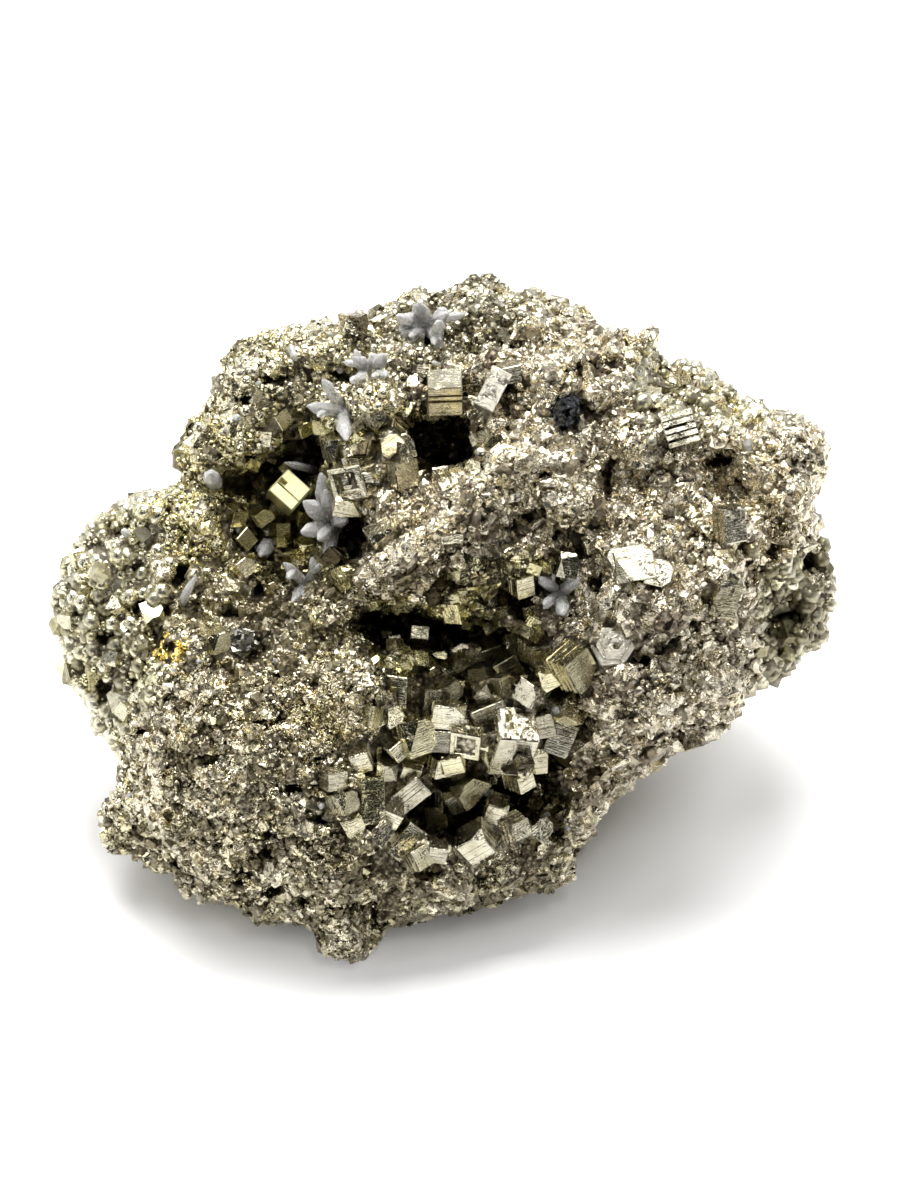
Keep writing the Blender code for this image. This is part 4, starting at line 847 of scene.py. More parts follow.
# Crystals: kind, middle (u, v, w) and edges in millimetres, turns about u, v and w in degrees
VUG_CRYSTALS = (
    ("blotched", 8.2, -15.1, 10.2, 5.2, 7.0, 5.4, 48, 14, -4),
    ("lined", 5.2, -11.2, 10, 4.4, 2.8, 3.6, 28, 4, 22),
    ("lined", 0.3, -11.4, 10.6, 4.2, 3.2, 3.8, 26, 8, -8),
    ("lined", -0.4, -14.7, 9.8, 2.8, 2.9, 3, 20, 6, -3),
    ("pitted", 2.9, -14.7, 10.4, 3.9, 3.7, 3.8, 34, -10, -10),
    ("worn", -3.8, -14.2, 10.8, 4.2, 4.6, 4.0, 22, 26, 20),
    ("lined", -5.6, -8.6, 10.8, 3.0, 4.0, 3.2, 14, -20, -8),
    ("layered", 15.9, -5.8, 12, 4.4, 5, 4.6, 28, 22, 40),
    ("layered", 11.2, -3.8, 7.4, 3.4, 3.2, 4.4, 30, 20, 12),
    ("lined", 8.4, -5.2, 3.6, 3.4, 3.2, 4.6, 24, -20, 30),
    ("layered", 2.8, -4.4, 0.8, 3.4, 2.6, 3.6, 12, 20, 15),
    ("lined", 10.7, -9.2, 10.6, 3.2, 2.8, 3, 12, -28, -35),
    ("worn", 12.8, -7.2, 10.8, 2.4, 2.6, 2.6, 30, 10, 14),
    ("plain", -3.6, -2.4, 1.0, 2.3, 1.7, 9.0, -11.5, 5.2, -6),
    ("worn", 0.7, -8.6, 10.2, 2.4, 2.3, 2.4, 30, 12, 40),
    ("lined", -1.8, -9.2, 11.2, 2.2, 1.6, 2.2, 12, 20, 0),
    ("layered", 4.2, -7.6, 10, 2.3, 2.2, 2.4, 35, 30, 10),
    ("lined", 7.2, -8, 10.2, 2.5, 2.4, 2.4, 18, 40, 25),
    ("worn", -1.7, -6.2, 7.8, 2.1, 2.1, 3.2, 30, 10, 30),
    ("lined", 5.4, -3.6, 0.2, 2.6, 2.4, 3.4, 40, 10, 20),
    ("worn", -7.5, -2, -6.0, 2.4, 2.2, 3, 25, 35, 15),
    ("lined", -4.6, -21.2, 8.4, 5.2, 3.1, 4.4, 20, -15, 38),
    ("lined", -9.6, -22.2, 12, 3.2, 5.8, 3.4, 10, 25, 6),
    ("lined", -0.5, -24.6, 0.2, 2.9, 2.8, 4, 6, -20, 8),
    ("lined", -5.4, -27.2, 8.6, 2.2, 4.8, 4, 2, 20, -38),
    ("lined", -14, -19.6, 14, 2.8, 2.3, 3, 20, 30, 10),
    ("worn", -12.6, -22.6, 13.8, 2.9, 2.7, 3, 12, 38, 24),
    ("worn", 2.6, -20.9, 3.8, 4.6, 3.4, 4.6, 30, 20, 38),
    ("layered", 8.6, -26, 5.4, 3.4, 3.2, 3.8, 20, 25, 25),
    ("lined", 3.9, -27.6, 6.6, 3.8, 3.4, 4, 30, -20, 30),
    ("lined", -0.9, -28.8, 10.4, 2.3, 2.1, 2.6, 25, 4, -8),
    ("lined", -3.4, -29.6, 11, 2.7, 2.6, 2.8, 10, 30, 30),
    ("worn", 11.6, -26, 4.4, 2.8, 2.6, 3.2, 26, 14, 52),
    ("lined", 14, -14.3, 7, 3.4, 4.4, 4, 10, 20, -20),
    ("layered", -4.4, -18.2, 9, 3.4, 2.4, 3.6, 32, 12, -14),
    ("lined", -1, -17.9, 8.8, 2.7, 2.5, 3.4, 28, 38, 8),
    ("worn", -7.4, -18.6, 11, 2.7, 2.3, 3, 24, 12, -10),
    ("lined", 9.2, -19.9, 7, 2.5, 2.3, 3.4, 30, 30, 30),
    ("worn", -8.4, -26.4, 11.6, 2.8, 2.6, 3, 24, 16, 48),
    ("plain", -10.7, -19.7, 12.4, 1.5, 1.2, 1.6, -10.4, 9.2, 12),
    ("plain", -6.4, -2.8, -0.8, 1.6, 1.3, 2.4, -10.6, 7.5, 10),
    ("worn", 1.8, -3.8, 0.4, 2.0, 1.6, 2.6, -12, 3, -20),
    ("plain", 5.4, -1.4, 1.6, 1.7, 1.4, 5.2, -8, 9, 25),
    ("worn", -0.8, -5.0, -0.4, 1.9, 2.1, 2.6, -11, 5, -4),
    ("plain", 8.2, -2.8, 2.4, 1.5, 1.9, 2.4, -9.4, 7.1, 6),
    ("worn", -9.4, -3.4, 3.8, 1.8, 1.5, 2.4, -10, 8, 14),
    ("worn", -1.6, -12.4, 9.6, 2.4, 2.2, 3.0, 28, -6, 26),
    ("lined", 2.2, -12.6, 10.2, 2.0, 2.6, 3.0, 26, 8, -30),
    ("worn", 5.4, -16.6, 9.6, 2.4, 3.0, 3.4, 30, 10, 34),
    ("lined", 1.0, -17.4, 9.4, 2.6, 2.4, 3.2, 32, -8, 12),
    ("worn", -6.4, -12.2, 11.2, 2.6, 2.4, 3.0, -10, 8, 30),
    ("lined", 12.6, -12.6, 8.8, 2.4, 3.2, 3.4, 24, -10, 10),
    ("worn", 11.4, -17.0, 7.6, 2.2, 3.4, 3.4, 30, 14, 6),
    ("lined", -6.0, -15.8, 10.6, 2.6, 2.2, 3.2, 26, 10, 40),
    ("worn", 4.6, -8.9, 10.6, 2.0, 2.2, 2.6, 36, -8, 20),
    ("lined", -10.4, -17.2, 12.2, 2.4, 2.6, 3.0, 22, -10, 16),
    ("worn", -11.6, -25.2, 12.6, 2.6, 2.4, 3.0, 28, 6, 30),
    ("lined", -6.8, -24.0, 10.6, 2.8, 2.2, 3.2, 30, 14, -24),
    ("worn", 0.6, -22.4, 3.6, 2.6, 3.0, 3.6, 26, 18, 12),
    ("lined", 6.4, -23.6, 4.6, 2.8, 2.6, 3.6, 30, 8, -16),
)
GOLD_CRYSTAL = (
    ("notched", -19.8, 16.1, -1.9, 3.9, 3.7, 4.4, -12.1, -0.9, -42),
)
SATIN_CRYSTALS = (
    ("plain", 5.9, 28.6, 9.6, 2.6, 5.4, 3.0, -8.5, 0.9, -28),
    ("hexagon", 20.8, -3.4, 12.6, 5.4, 5.2, 3.6, -6.0, 5.0, 28),
)
POCKET_CRYSTALS = (
    ("worn", -17.4, 9, -3.4, 2.6, 2.4, 2.8, 30, 20, 15),
    ("plain", -20.9, 10.9, -6.2, 1.9, 3.2, 2.6, 10, 20, 4),
    ("lined", -23.2, 13.2, -5.3, 2.4, 1.8, 2.6, 20, 10, 35),
    ("worn", -18.2, 13.4, -5.5, 1.9, 1.8, 2.4, 35, 25, 10),
    ("plain", -26.6, 13.2, 0, 2.3, 2.2, 2.6, 30, 40, 5),
    ("lined", -25.4, 6.6, 2.6, 2.4, 2.2, 2.4, 14, 30, 40),
    ("worn", -21.8, 4.2, 0.4, 2.4, 2, 2.4, 24, 8, 24),
    ("plain", -25.6, 10.2, -0.6, 2.2, 2.4, 2.6, 28, 22, 50),
    ("lined", -19.4, 7.6, -3.6, 2.2, 2.1, 2.6, 16, 36, 30),
    ("worn", -17.6, 24.6, -1.4, 2.4, 2, 2.8, 30, 12, 20),
    ("plain", -21, 25.2, 0.2, 2.2, 2.2, 2.8, 20, 30, 42),
)
OUTER_CRYSTALS = (
    ("banded", 0, 28.5, 6.8, 4.4, 4.2, 4.4, 36, 0, 2),
    ("lined", 8, 31, 7.6, 2.4, 2.2, 3, 20, 14, 12),
    ("worn", -7, 23, 6.4, 3.9, 3.2, 3.8, 34, -24, 34),
    ("pitted", -11.4, 17.6, 9.4, 4.6, 4.3, 4.2, 14, -26, 10),
    ("lined", -5.8, 18.3, 7.6, 3.6, 3.4, 3.8, 14, 36, 15),
    ("lined", -5.4, 21.8, 6.2, 2.3, 3.2, 3.4, 8, 20, 16),
    ("worn", -12.2, 14.6, 8.8, 3.4, 2.4, 3.6, 30, 10, -10),
    ("worn", -7.6, 10.2, 12.2, 3.5, 3.4, 3.6, 32, 6, 30),
    ("worn", -13.6, 21.6, 4.6, 2.9, 3.2, 3.4, 24, 18, 20),
    ("lined", 9.4, 4.6, 11.6, 2.4, 2.8, 3, 30, 22, 18),
    ("worn", 15, 7, 12.6, 2.4, 3.2, 3, 8, 20, -6),
    ("plain", 0.8, 9.8, 16.9, 2.8, 1.1, 2.6, -9.4, 7.1, 6),
    ("lined", 35.4, 12, 11.2, 3, 4.4, 3.4, 12, 24, 10),
    ("worn", 34.4, 3, 11.6, 3.2, 4.8, 3.4, 10, 30, -8),
    ("worn", -28.6, -2.6, 9.2, 2.8, 2.5, 3, 20, 30, 20),
    ("plain", -42.0, 9.5, -0.4, 1.9, 1.1, 1.8, -6.4, 11.9, 20),
    ("worn", 23.4, 6.8, 15.1, 4.8, 4.4, 3.6, -9.8, 6, 8),
    ("worn", 26.4, 5.6, 14.9, 3.2, 3.4, 3.2, -11.3, 1.6, -14),
    ("worn", 21.4, 7.8, 14.6, 2.6, 2.4, 2.8, -9.0, 7, 30),
    ("striped", 29.2, 23.6, 7.2, 4.2, 4.2, 4.4, -7.9, 6.6, 16),
)


def joined_crystals(name, kinds, choice, middles, turns, scales, tone, warmth, rng):
    """One mesh of many crystals: kind, middle, turn and size of each, in metres."""
    points, corners, lines, tones, warmths, smooths = [], [], [], [], [], []
    start = 0
    for number, kind in enumerate(kinds):
        chosen = np.flatnonzero(choice == number)
        if not len(chosen):
            continue
        shape = kind["points"]
        sized = shape[None, :, :] * scales[chosen][:, None, :]
        placed = np.einsum('nij,nvj->nvi', turns[chosen], sized) + middles[chosen][:, None, :]
        points.append(placed.reshape(-1, 3))
        count = len(shape)
        firsts = start + np.arange(len(chosen)) * count
        corners.append((kind["corners"][None, :, :] + firsts[:, None, None]).reshape(-1, 3))
        start += count * len(chosen)
        shift = rng.uniform(0.0, 40.0, size=(len(chosen), 1, 1, 2))
        width = scales[chosen].mean(axis=1)[:, None, None, None] / MM
        lines.append((kind["lines"][None] * width + shift).reshape(-1, 2))
        smooths.append(np.full(len(chosen) * len(kind["corners"]), kind["smooth"]))
        tones.append(np.repeat(tone[chosen], count))
        warmths.append(np.repeat(warmth[chosen], count))
    points = np.concatenate(points)
    corners = np.concatenate(corners)
    mesh = bpy.data.meshes.new(name)
    mesh.vertices.add(len(points))
    mesh.vertices.foreach_set("co", points.ravel())
    mesh.loops.add(len(corners) * 3)
    mesh.loops.foreach_set("vertex_index", corners.ravel())
    mesh.polygons.add(len(corners))
    mesh.polygons.foreach_set("loop_start", np.arange(0, len(corners) * 3, 3))
    mesh.polygons.foreach_set("use_smooth", np.concatenate(smooths))
    growth = mesh.uv_layers.new(name="growth")
    growth.data.foreach_set("uv", np.concatenate(lines).ravel())
    mesh.update(calc_edges=True)
    mesh.validate()
    ob = bpy.data.objects.new(name, mesh)
    bpy.context.scene.collection.objects.link(ob)
    set_marks(ob, np.concatenate(tones), np.concatenate(warmths))
    return ob


def seated(row):
    """Middle, turn and edges of one crystal of a table, in millimetres of the standing frame."""
    kind, u, v, w, edge_a, edge_b, edge_c, turn_u, turn_v, turn_w = row
    turn = Euler([math.radians(angle) for angle in (turn_u, turn_v, turn_w)]).to_matrix()
    return np.array(spot(u, v, w)) / MM, np.array(FACE_TURN @ turn), np.array((edge_a, edge_b, edge_c))


def tuck_under(ob, boxes):
    """Draw the skin that would show through a crystal back inside it."""
    points = point_array(ob) / MM
    for middle, turn, edges in boxes:
        half = edges / 2.0
        local = (points - middle) @ turn
        near = (np.abs(local) < half + TUCK_REACH).all(axis=1)
        limit = half - TUCK_DEPTH
        points[near] = np.clip(local[near], -limit, limit) @ turn.T + middle
    ob.data.vertices.foreach_set("co", (points * MM).ravel())
    ob.data.update()


def crystal_group(name, rows, material, seed, warmth, tone):
    """Join the crystals of one table into one piece."""
    rng = np.random.default_rng(seed)
    count = len(rows)
    shapes = []
    for number, row in enumerate(rows):
        variants = CRYSTAL_KINDS[row[0]]
        shapes.append(variants[number % len(variants)])
    middles, turns, edges = (np.array(values) for values in zip(*map(seated, rows)))
    ob = joined_crystals(
        name, shapes, np.arange(count), middles * MM, turns, edges * MM,
        np.clip(tone + rng.normal(scale=TONE_SCATTER, size=count), 0.0, 1.0),
        np.clip(warmth + rng.normal(scale=WARMTH_SCATTER, size=count), 0.0, 1.0), rng)
    ob.data.materials.append(material)
    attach(ob, "root")


crystal_pyrite = pyrite_material(
    "crystal_pyrite", ((0.64, 0.60, 0.47, 1.0), (0.74, 0.68, 0.39, 1.0), (0.13, 0.10, 0.06, 1.0)),
    tarnish_share=0.25, roughness=(0.06, 0.20), facet_tilt=0.03,
    line_depth=0.025 * MM, etched=0.22, waves=0.06 * MM)
# A paler, brighter copy of the crystal pyrite for the pocket's gold cube: its golden colour with a painted
# highlight raised into it.
gold_pyrite_painted_highlight = pyrite_material(
    "gold_crystal_pyrite_painted_highlight", ((0.92, 0.88, 0.56, 1.0), (0.92, 0.87, 0.46, 1.0), (0.50, 0.40, 0.14, 1.0)),
    tarnish_share=0.20, roughness=(0.36, 0.46), facet_tilt=0.0,
    line_depth=0.012 * MM, etched=0.0, waves=0.03 * MM)
satin_pyrite = pyrite_material(
    "satin_crystal_pyrite", ((0.70, 0.66, 0.55, 1.0), (0.74, 0.68, 0.46, 1.0), (0.16, 0.12, 0.08, 1.0)),
    tarnish_share=0.45, roughness=(0.26, 0.44), facet_tilt=0.06,
    line_depth=0.03 * MM, etched=0.55, waves=0.08 * MM)
all_crystals = VUG_CRYSTALS + GOLD_CRYSTAL + SATIN_CRYSTALS + POCKET_CRYSTALS + OUTER_CRYSTALS
all_boxes = [seated(row) for row in all_crystals]
tuck_under(core, all_boxes)
# Each table's name, rows, material, seed, warmth and tone
crystal_group("vug_cubes", VUG_CRYSTALS, crystal_pyrite, 21, 0.30, 0.45)
crystal_group("pocket_cubes", POCKET_CRYSTALS, crystal_pyrite, 22, 0.85, 0.3)
crystal_group("gold_cube", GOLD_CRYSTAL, gold_pyrite_painted_highlight, 24, 0.5, 0.0)
crystal_group("satin_crystals", SATIN_CRYSTALS, satin_pyrite, 25, 0.1, 0.2)
crystal_group("outer_cubes", OUTER_CRYSTALS, crystal_pyrite, 23, 0.15, 0.35)

# ---------------------------------------------------------------------------
# The sugary coat: thousands of small pyrite crystals, mostly cubes and blunt
# many-faced grains half a millimetre to two across, grown tightly over the stone.
COAT_SEED = 7
DEEP_LEVEL = 3.0                               # crystals below this level of the hollows get painted shade, which darkens and tarnishes them
DEEP_SHADE_TONE = 0.10                               # painted shade added for each millimetre
DEEPEST_SHADE_TONE = 0.6


def plain_cube():
    """A small sharp cube."""
    return finish_crystal(start_crystal('cube'))


def clipped_cube(cuts):
    """A cube with some of its corners and edges missing."""
    ob = start_crystal('cube')
    for direction, distance in cuts:
        cut_corner(ob, direction, distance)
    return finish_crystal(ob)


def blunt_grain(seed, unevenness):
    """A rounded many-faced grain, no two sides alike."""
    ob = start_crystal('ball')
    bpy.ops.transform.vertex_random(offset=unevenness, seed=seed)
    return finish_crystal(ob, smooth=True)


def chip(seed, cuts, flatness):
    """A flat angular bit: a cube cut by planes that lean every way, then pressed flat."""
    rng = random.Random(seed)
    ob = start_crystal('cube')
    for _ in range(cuts):
        direction = (rng.uniform(-1.0, 1.0), rng.uniform(-1.0, 1.0), rng.uniform(0.1, 1.0))
        cut_corner(ob, direction, rng.uniform(0.34, 0.46))
    bpy.ops.mesh.select_all(action='SELECT')
    bpy.ops.transform.resize(value=(1.15, 1.15, flatness))
    return finish_crystal(ob)


def stepped_grain(inset, rise):
    """A cube with a smaller growth step on its top and one side."""
    ob = start_crystal('cube')
    pick_faces(ob, lambda face: face.normal.z > SQUARE_ON)
    bpy.ops.mesh.inset(thickness=inset)
    bpy.ops.mesh.extrude_region_move(TRANSFORM_OT_translate={"value": (inset * 0.5, 0.0, rise)})
    pick_faces(ob, lambda face: face.normal.x > SQUARE_ON and face.calc_center_median().z < 0.4)
    bpy.ops.mesh.inset(thickness=inset)
    bpy.ops.mesh.extrude_region_move(TRANSFORM_OT_translate={"value": (rise, inset * 0.4, 0.0)})
    return finish_crystal(ob)


def hollow_grain():
    """A cube whose face is sunk in the middle."""
    ob = start_crystal('cube')
    pick_faces(ob, lambda face: face.normal.z > SQUARE_ON)
    bpy.ops.mesh.inset(thickness=0.2)
    bpy.ops.mesh.extrude_region_move(TRANSFORM_OT_translate={"value": (0.0, 0.0, -0.2)})
    return finish_crystal(ob)


def flake():
    """A thin six-sided plate."""
    return finish_crystal(start_crystal('plate'))


GRAIN_KINDS = {
    "cube": plain_cube(),
    "clipped_a": clipped_cube((((1, 1, 1), 0.62), ((-1, 1, 0.4), 0.60), ((1, -1, -0.5), 0.64))),
    "clipped_b": clipped_cube((((1, 0.2, 1), 0.56), ((-1, -1, 1), 0.60), ((0, 1, -1), 0.60))),
    "blunt_a": blunt_grain(3, 0.10),
    "blunt_b": blunt_grain(8, 0.16),
    "stepped": stepped_grain(0.16, 0.14),
    "hollow": hollow_grain(),
    "flake": flake(),
    "chip_a": chip(31, 5, 0.75),
    "chip_b": chip(32, 6, 0.55),
    "chip_c": chip(33, 5, 0.65),
}
LYING_KINDS = ("flake", "chip_a", "chip_b", "chip_c")     # these lie along the skin
# How often each kind of grain grows, by style of surface
STYLES = {
    "sugary": {"chip_a": 0.22, "chip_b": 0.18, "chip_c": 0.18, "blunt_b": 0.18, "clipped_a": 0.08,
               "clipped_b": 0.08, "cube": 0.05, "flake": 0.03},
    "beads": {"blunt_a": 0.36, "blunt_b": 0.36, "chip_a": 0.12, "chip_c": 0.08, "clipped_a": 0.04,
              "clipped_b": 0.04},
    "knobs": {"blunt_a": 0.44, "blunt_b": 0.42, "clipped_a": 0.05, "clipped_b": 0.04, "chip_a": 0.05},
    "flaky": {"chip_a": 0.26, "chip_b": 0.28, "chip_c": 0.22, "blunt_b": 0.14, "flake": 0.10},
    "crystals": {"cube": 0.24, "clipped_a": 0.16, "clipped_b": 0.14, "stepped": 0.16, "hollow": 0.06,
                 "chip_a": 0.14, "blunt_b": 0.10},
    "coarse": {"chip_a": 0.24, "chip_b": 0.14, "chip_c": 0.20, "blunt_a": 0.18, "blunt_b": 0.24},
}
# A zone's tone is partly painted shade: right_back, on the shaded side, and bottom_rim, near the table, are
# given dark tones for it.
# Kinds of surface: (name, u, v, half width, half height, grain size mm, style, warmth, tone)
ZONES = (
    ("lower_left", -22.0, -18.0, 19.0, 17.0, 0.80, "sugary", 0.30, 0.45),
    ("left_bulge", -42.0, 0.0, 8.5, 15.0, 1.25, "knobs", 0.40, 0.35),
    ("upper_left", -22.0, 29.5, 14.0, 8.0, 1.00, "beads", 0.35, 0.34),
    ("left_wall", -29.0, 14.0, 6.0, 10.0, 1.05, "beads", 0.70, 0.62),
    ("pocket", -20.0, 12.5, 8.5, 9.0, 1.25, "crystals", 0.95, 0.45),
    ("pocket_top", -18.5, 24.5, 5.0, 4.0, 1.10, "crystals", 0.80, 0.45),
    ("ledge", -24.0, -1.0, 12.0, 7.0, 0.90, "sugary", 0.55, 0.50),
    ("ridge", 2.0, 12.0, 13.0, 8.0, 1.04, "flaky", 0.20, 0.32),
    ("ridge_foot", 5.5, 5.5, 8.0, 4.2, 0.90, "crystals", 0.70, 0.75),
    ("cave", 1.0, -3.0, 11.0, 5.0, 1.30, "crystals", 0.80, 0.20),
    ("shelf", 2.0, -13.5, 16.0, 7.0, 1.70, "crystals", 0.45, 0.62),
    ("slit", 3.0, -23.0, 12.0, 5.0, 1.60, "crystals", 0.60, 0.55),
    ("vug_lip", 20.0, -20.5, 6.0, 7.0, 0.95, "sugary", 0.30, 0.45),
    ("upper_middle", 12.0, 30.0, 15.0, 8.0, 1.00, "flaky", 0.12, 0.12),
    ("top", 0.0, 36.5, 12.0, 5.0, 1.00, "beads", 0.15, 0.55),
    ("hollow_over_ridge", -3.0, 21.5, 9.0, 6.0, 1.20, "crystals", 0.45, 0.50),
    ("right_mass", 27.0, 0.0, 14.0, 15.0, 0.98, "flaky", 0.10, 0.32),
    ("right_ridge", 39.0, 15.0, 10.0, 10.0, 1.00, "flaky", 0.15, 0.02),
    ("back_ridge", 33.0, 29.0, 13.0, 6.0, 1.25, "knobs", 0.35, 0.32),
    ("right_back", 44.5, 0.5, 6.0, 10.0, 1.25, "knobs", 0.40, 0.66),
    ("bottom_rim", 2.0, -33.0, 16.0, 6.0, 1.00, "flaky", 0.35, 0.64),
)
# Places where the coat is darker or lighter than its zone: (u, v, half width, half height, added tone)
TONE_SPOTS = (
    (-23.0, 4.5, 4.5, 4.5, 0.40), (-23.0, -1.5, 4.5, 4.0, 0.40), (13.0, 23.0, 4.0, 4.0, 0.25),
    (19.0, 23.0, 4.0, 4.0, 0.20), (-5.0, -25.0, 4.5, 4.0, 0.30), (7.0, -25.0, 4.5, 4.0, 0.35),
    (13.0, -19.0, 4.0, 4.0, 0.15), (25.0, -1.0, 4.5, 4.5, 0.25), (-8.0, -13.0, 7.0, 4.0, -0.40),
    (-17.0, -13.5, 4.5, 5.0, -0.22), (19.0, 4.0, 4.0, 5.0, -0.22), (37.0, 17.0, 4.5, 4.5, -0.30),
    (-35.0, 11.0, 4.0, 4.5, -0.40), (-29.0, 11.5, 4.0, 4.0, -0.20), (-29.0, 17.0, 4.5, 4.5, -0.30),
    (-24.0, 22.0, 4.5, 4.0, -0.20), (-11.0, 23.0, 4.0, 4.0, -0.20), (6.0, 35.0, 5.0, 3.5, 0.20),
    (-26.0, -25.0, 5.0, 5.0, -0.05), (-17.0, 1.0, 4.0, 4.0, 0.05),
)
zone_names, _, _, _, _, zone_sizes, zone_styles, zone_warmths, zone_tones_and_shade = zip(*ZONES)
BACK_SIZE = 1.45                               # grain size on the sides that are broken or worn
BACK_TONE = 0.5
BACK_WARMTH = 0.3
COAT_TONE_SCATTER = 0.26                       # how much neighbouring grains differ
COAT_WARMTH_SCATTER = 0.2
GRAIN_SPREAD = (0.60, 1.95)                    # smallest and largest share of the zone's grain size
LARGE_RARITY = 3.0                             # the higher, the rarer the large grains
GRAIN_STRETCH = (0.8, 1.15)                    # each edge of a grain, over its size
GRAIN_SPACING = 0.66                           # closest two grains grow, as a share of their size
GRAIN_STRAY = 0.18                             # how far grains stray from the places they start at, mm
TURN_TO_GROW = (0.6, 1.4)                      # grains grow in order of size, shuffled by this much
TRIES = 3.0                                    # places tried, over the grains that would just cover the skin
GRAIN_SINK = 0.06                              # how far grains sit down into the skin, over their size
BEAD_SINK = 0.22                               # the same for rounded grains
BACK_SINK = 0.20                               # and for the sides away from the show face
SHOW_SIDE = -0.35                              # the fine coat lies on skin that faces out more than this
SHOW_LEVEL = -16.0                             # and above this level of the show face
GRAIN_LEAN = 0.35                              # how far the lying chips lean off the skin
CRYSTAL_ROOM = 0.36                            # room between a grain and a larger crystal, over its size
FLOOR_ROOM = 1.05                              # least height of a grain over the table, over its size
RING_MIDDLE = (-34.2, -3.4)                    # small pit of the left ledge, ringed by golden beads
RING_BARE = 2.0                                # no grain grows this near its middle, millimetres
PIT_START = 1.5                                # depth, in mm, from which fewer grains grow in a pit
PIT_BARE = 1.3                                 # and how fast they thin out, per mm
HOLLOW_BARE = 0.075                            # bare inner part of a hollow, per mm of its depth
BAREST = 0.6                                   # and the most of a hollow that stays bare
HOLLOW_LEVEL = -20.0                           # below this level the back's grains run on under a hollow
SPOT_EDGE = 1.6                                # where such a darker or lighter spot ends, over its half width


def face_table(ob):
    """Middle, normal and area of every face, as arrays."""
    count = len(ob.data.polygons)
    middles = np.empty(count * 3)
    normals = np.empty(count * 3)
    areas = np.empty(count)
    ob.data.polygons.foreach_get("center", middles)
    ob.data.polygons.foreach_get("normal", normals)
    ob.data.polygons.foreach_get("area", areas)
    return middles.reshape(-1, 3), normals.reshape(-1, 3), areas


def zone_of(places):
    """Index of the zone nearest to each show-face place, counted in zone sizes."""
    best = np.full(len(places), np.inf)
    index = np.zeros(len(places), dtype=np.int64)
    for number, row in enumerate(ZONES):
        reach = oval_reach(places, *row[1:5])
        closer = reach < best
        best[closer] = reach[closer]
        index[closer] = number
    return index


def random_turns(rng, count):
    """Random rotation matrices."""
    w, x, y, z = rng.normal(size=(4, count))
    length = np.sqrt(w * w + x * x + y * y + z * z)
    w, x, y, z = w / length, x / length, y / length, z / length
    turns = np.empty((count, 3, 3))
    turns[:, 0] = np.stack((1 - 2 * (y * y + z * z), 2 * (x * y - z * w), 2 * (x * z + y * w)), axis=1)
    turns[:, 1] = np.stack((2 * (x * y + z * w), 1 - 2 * (x * x + z * z), 2 * (y * z - x * w)), axis=1)
    turns[:, 2] = np.stack((2 * (x * z - y * w), 2 * (y * z + x * w), 1 - 2 * (x * x + y * y)), axis=1)
    return turns


def lying_turns(rng, normals, lean):
    """Rotations that keep each shape's third axis near the skin's normal, with a random spin."""
    upright = normals + rng.normal(scale=lean, size=normals.shape)
    upright /= np.linalg.norm(upright, axis=1)[:, None]
    side = np.cross(upright, rng.normal(size=normals.shape))
    side /= np.linalg.norm(side, axis=1)[:, None]
    return np.stack((side, np.cross(upright, side), upright), axis=2)


def thinned(points, sizes, spacing):
    """Which points stay when none may stand closer to an earlier one than their sizes allow."""
    cell = float(sizes.max()) * spacing
    cells = np.floor(points / cell).astype(np.int64)
    taken = {}
    kept = np.zeros(len(points), dtype=bool)
    around = [(a, b, c) for a in (-1, 0, 1) for b in (-1, 0, 1) for c in (-1, 0, 1)]
    coords = points.tolist()
    wide = sizes.tolist()
    for number, (i, j, k) in enumerate(cells.tolist()):
        x, y, z = coords[number]
        size = wide[number]
        free = True
        for a, b, c in around:
            for px, py, pz, other in taken.get((i + a, j + b, k + c), ()):
                gap = spacing * 0.5 * (size + other)
                if (x - px) ** 2 + (y - py) ** 2 + (z - pz) ** 2 < gap * gap:
                    free = False
                    break
            if not free:
                break
        if free:
            taken.setdefault((i, j, k), []).append((x, y, z, size))
            kept[number] = True
    return kept


def clear_of_crystals(points, sizes, boxes):
    """Which grains stay outside the larger crystals."""
    free = np.ones(len(points), dtype=bool)
    for middle, turn, edges in boxes:
        local = np.abs((points / MM - middle) @ turn)
        room = edges[None, :] / 2.0 + (sizes * CRYSTAL_ROOM)[:, None]
        free &= ~(local < room).all(axis=1)
    return free


def in_hollows(places):
    """Which show-face places lie in the bare inner part of a hollow."""
    inside = np.zeros(len(places), dtype=bool)
    for *oval, depth in HOLLOWS:
        bare = oval_reach(places, *oval) < min(BAREST, depth * HOLLOW_BARE)
        inside |= bare & (places[:, 2] > HOLLOW_LEVEL)
    return inside


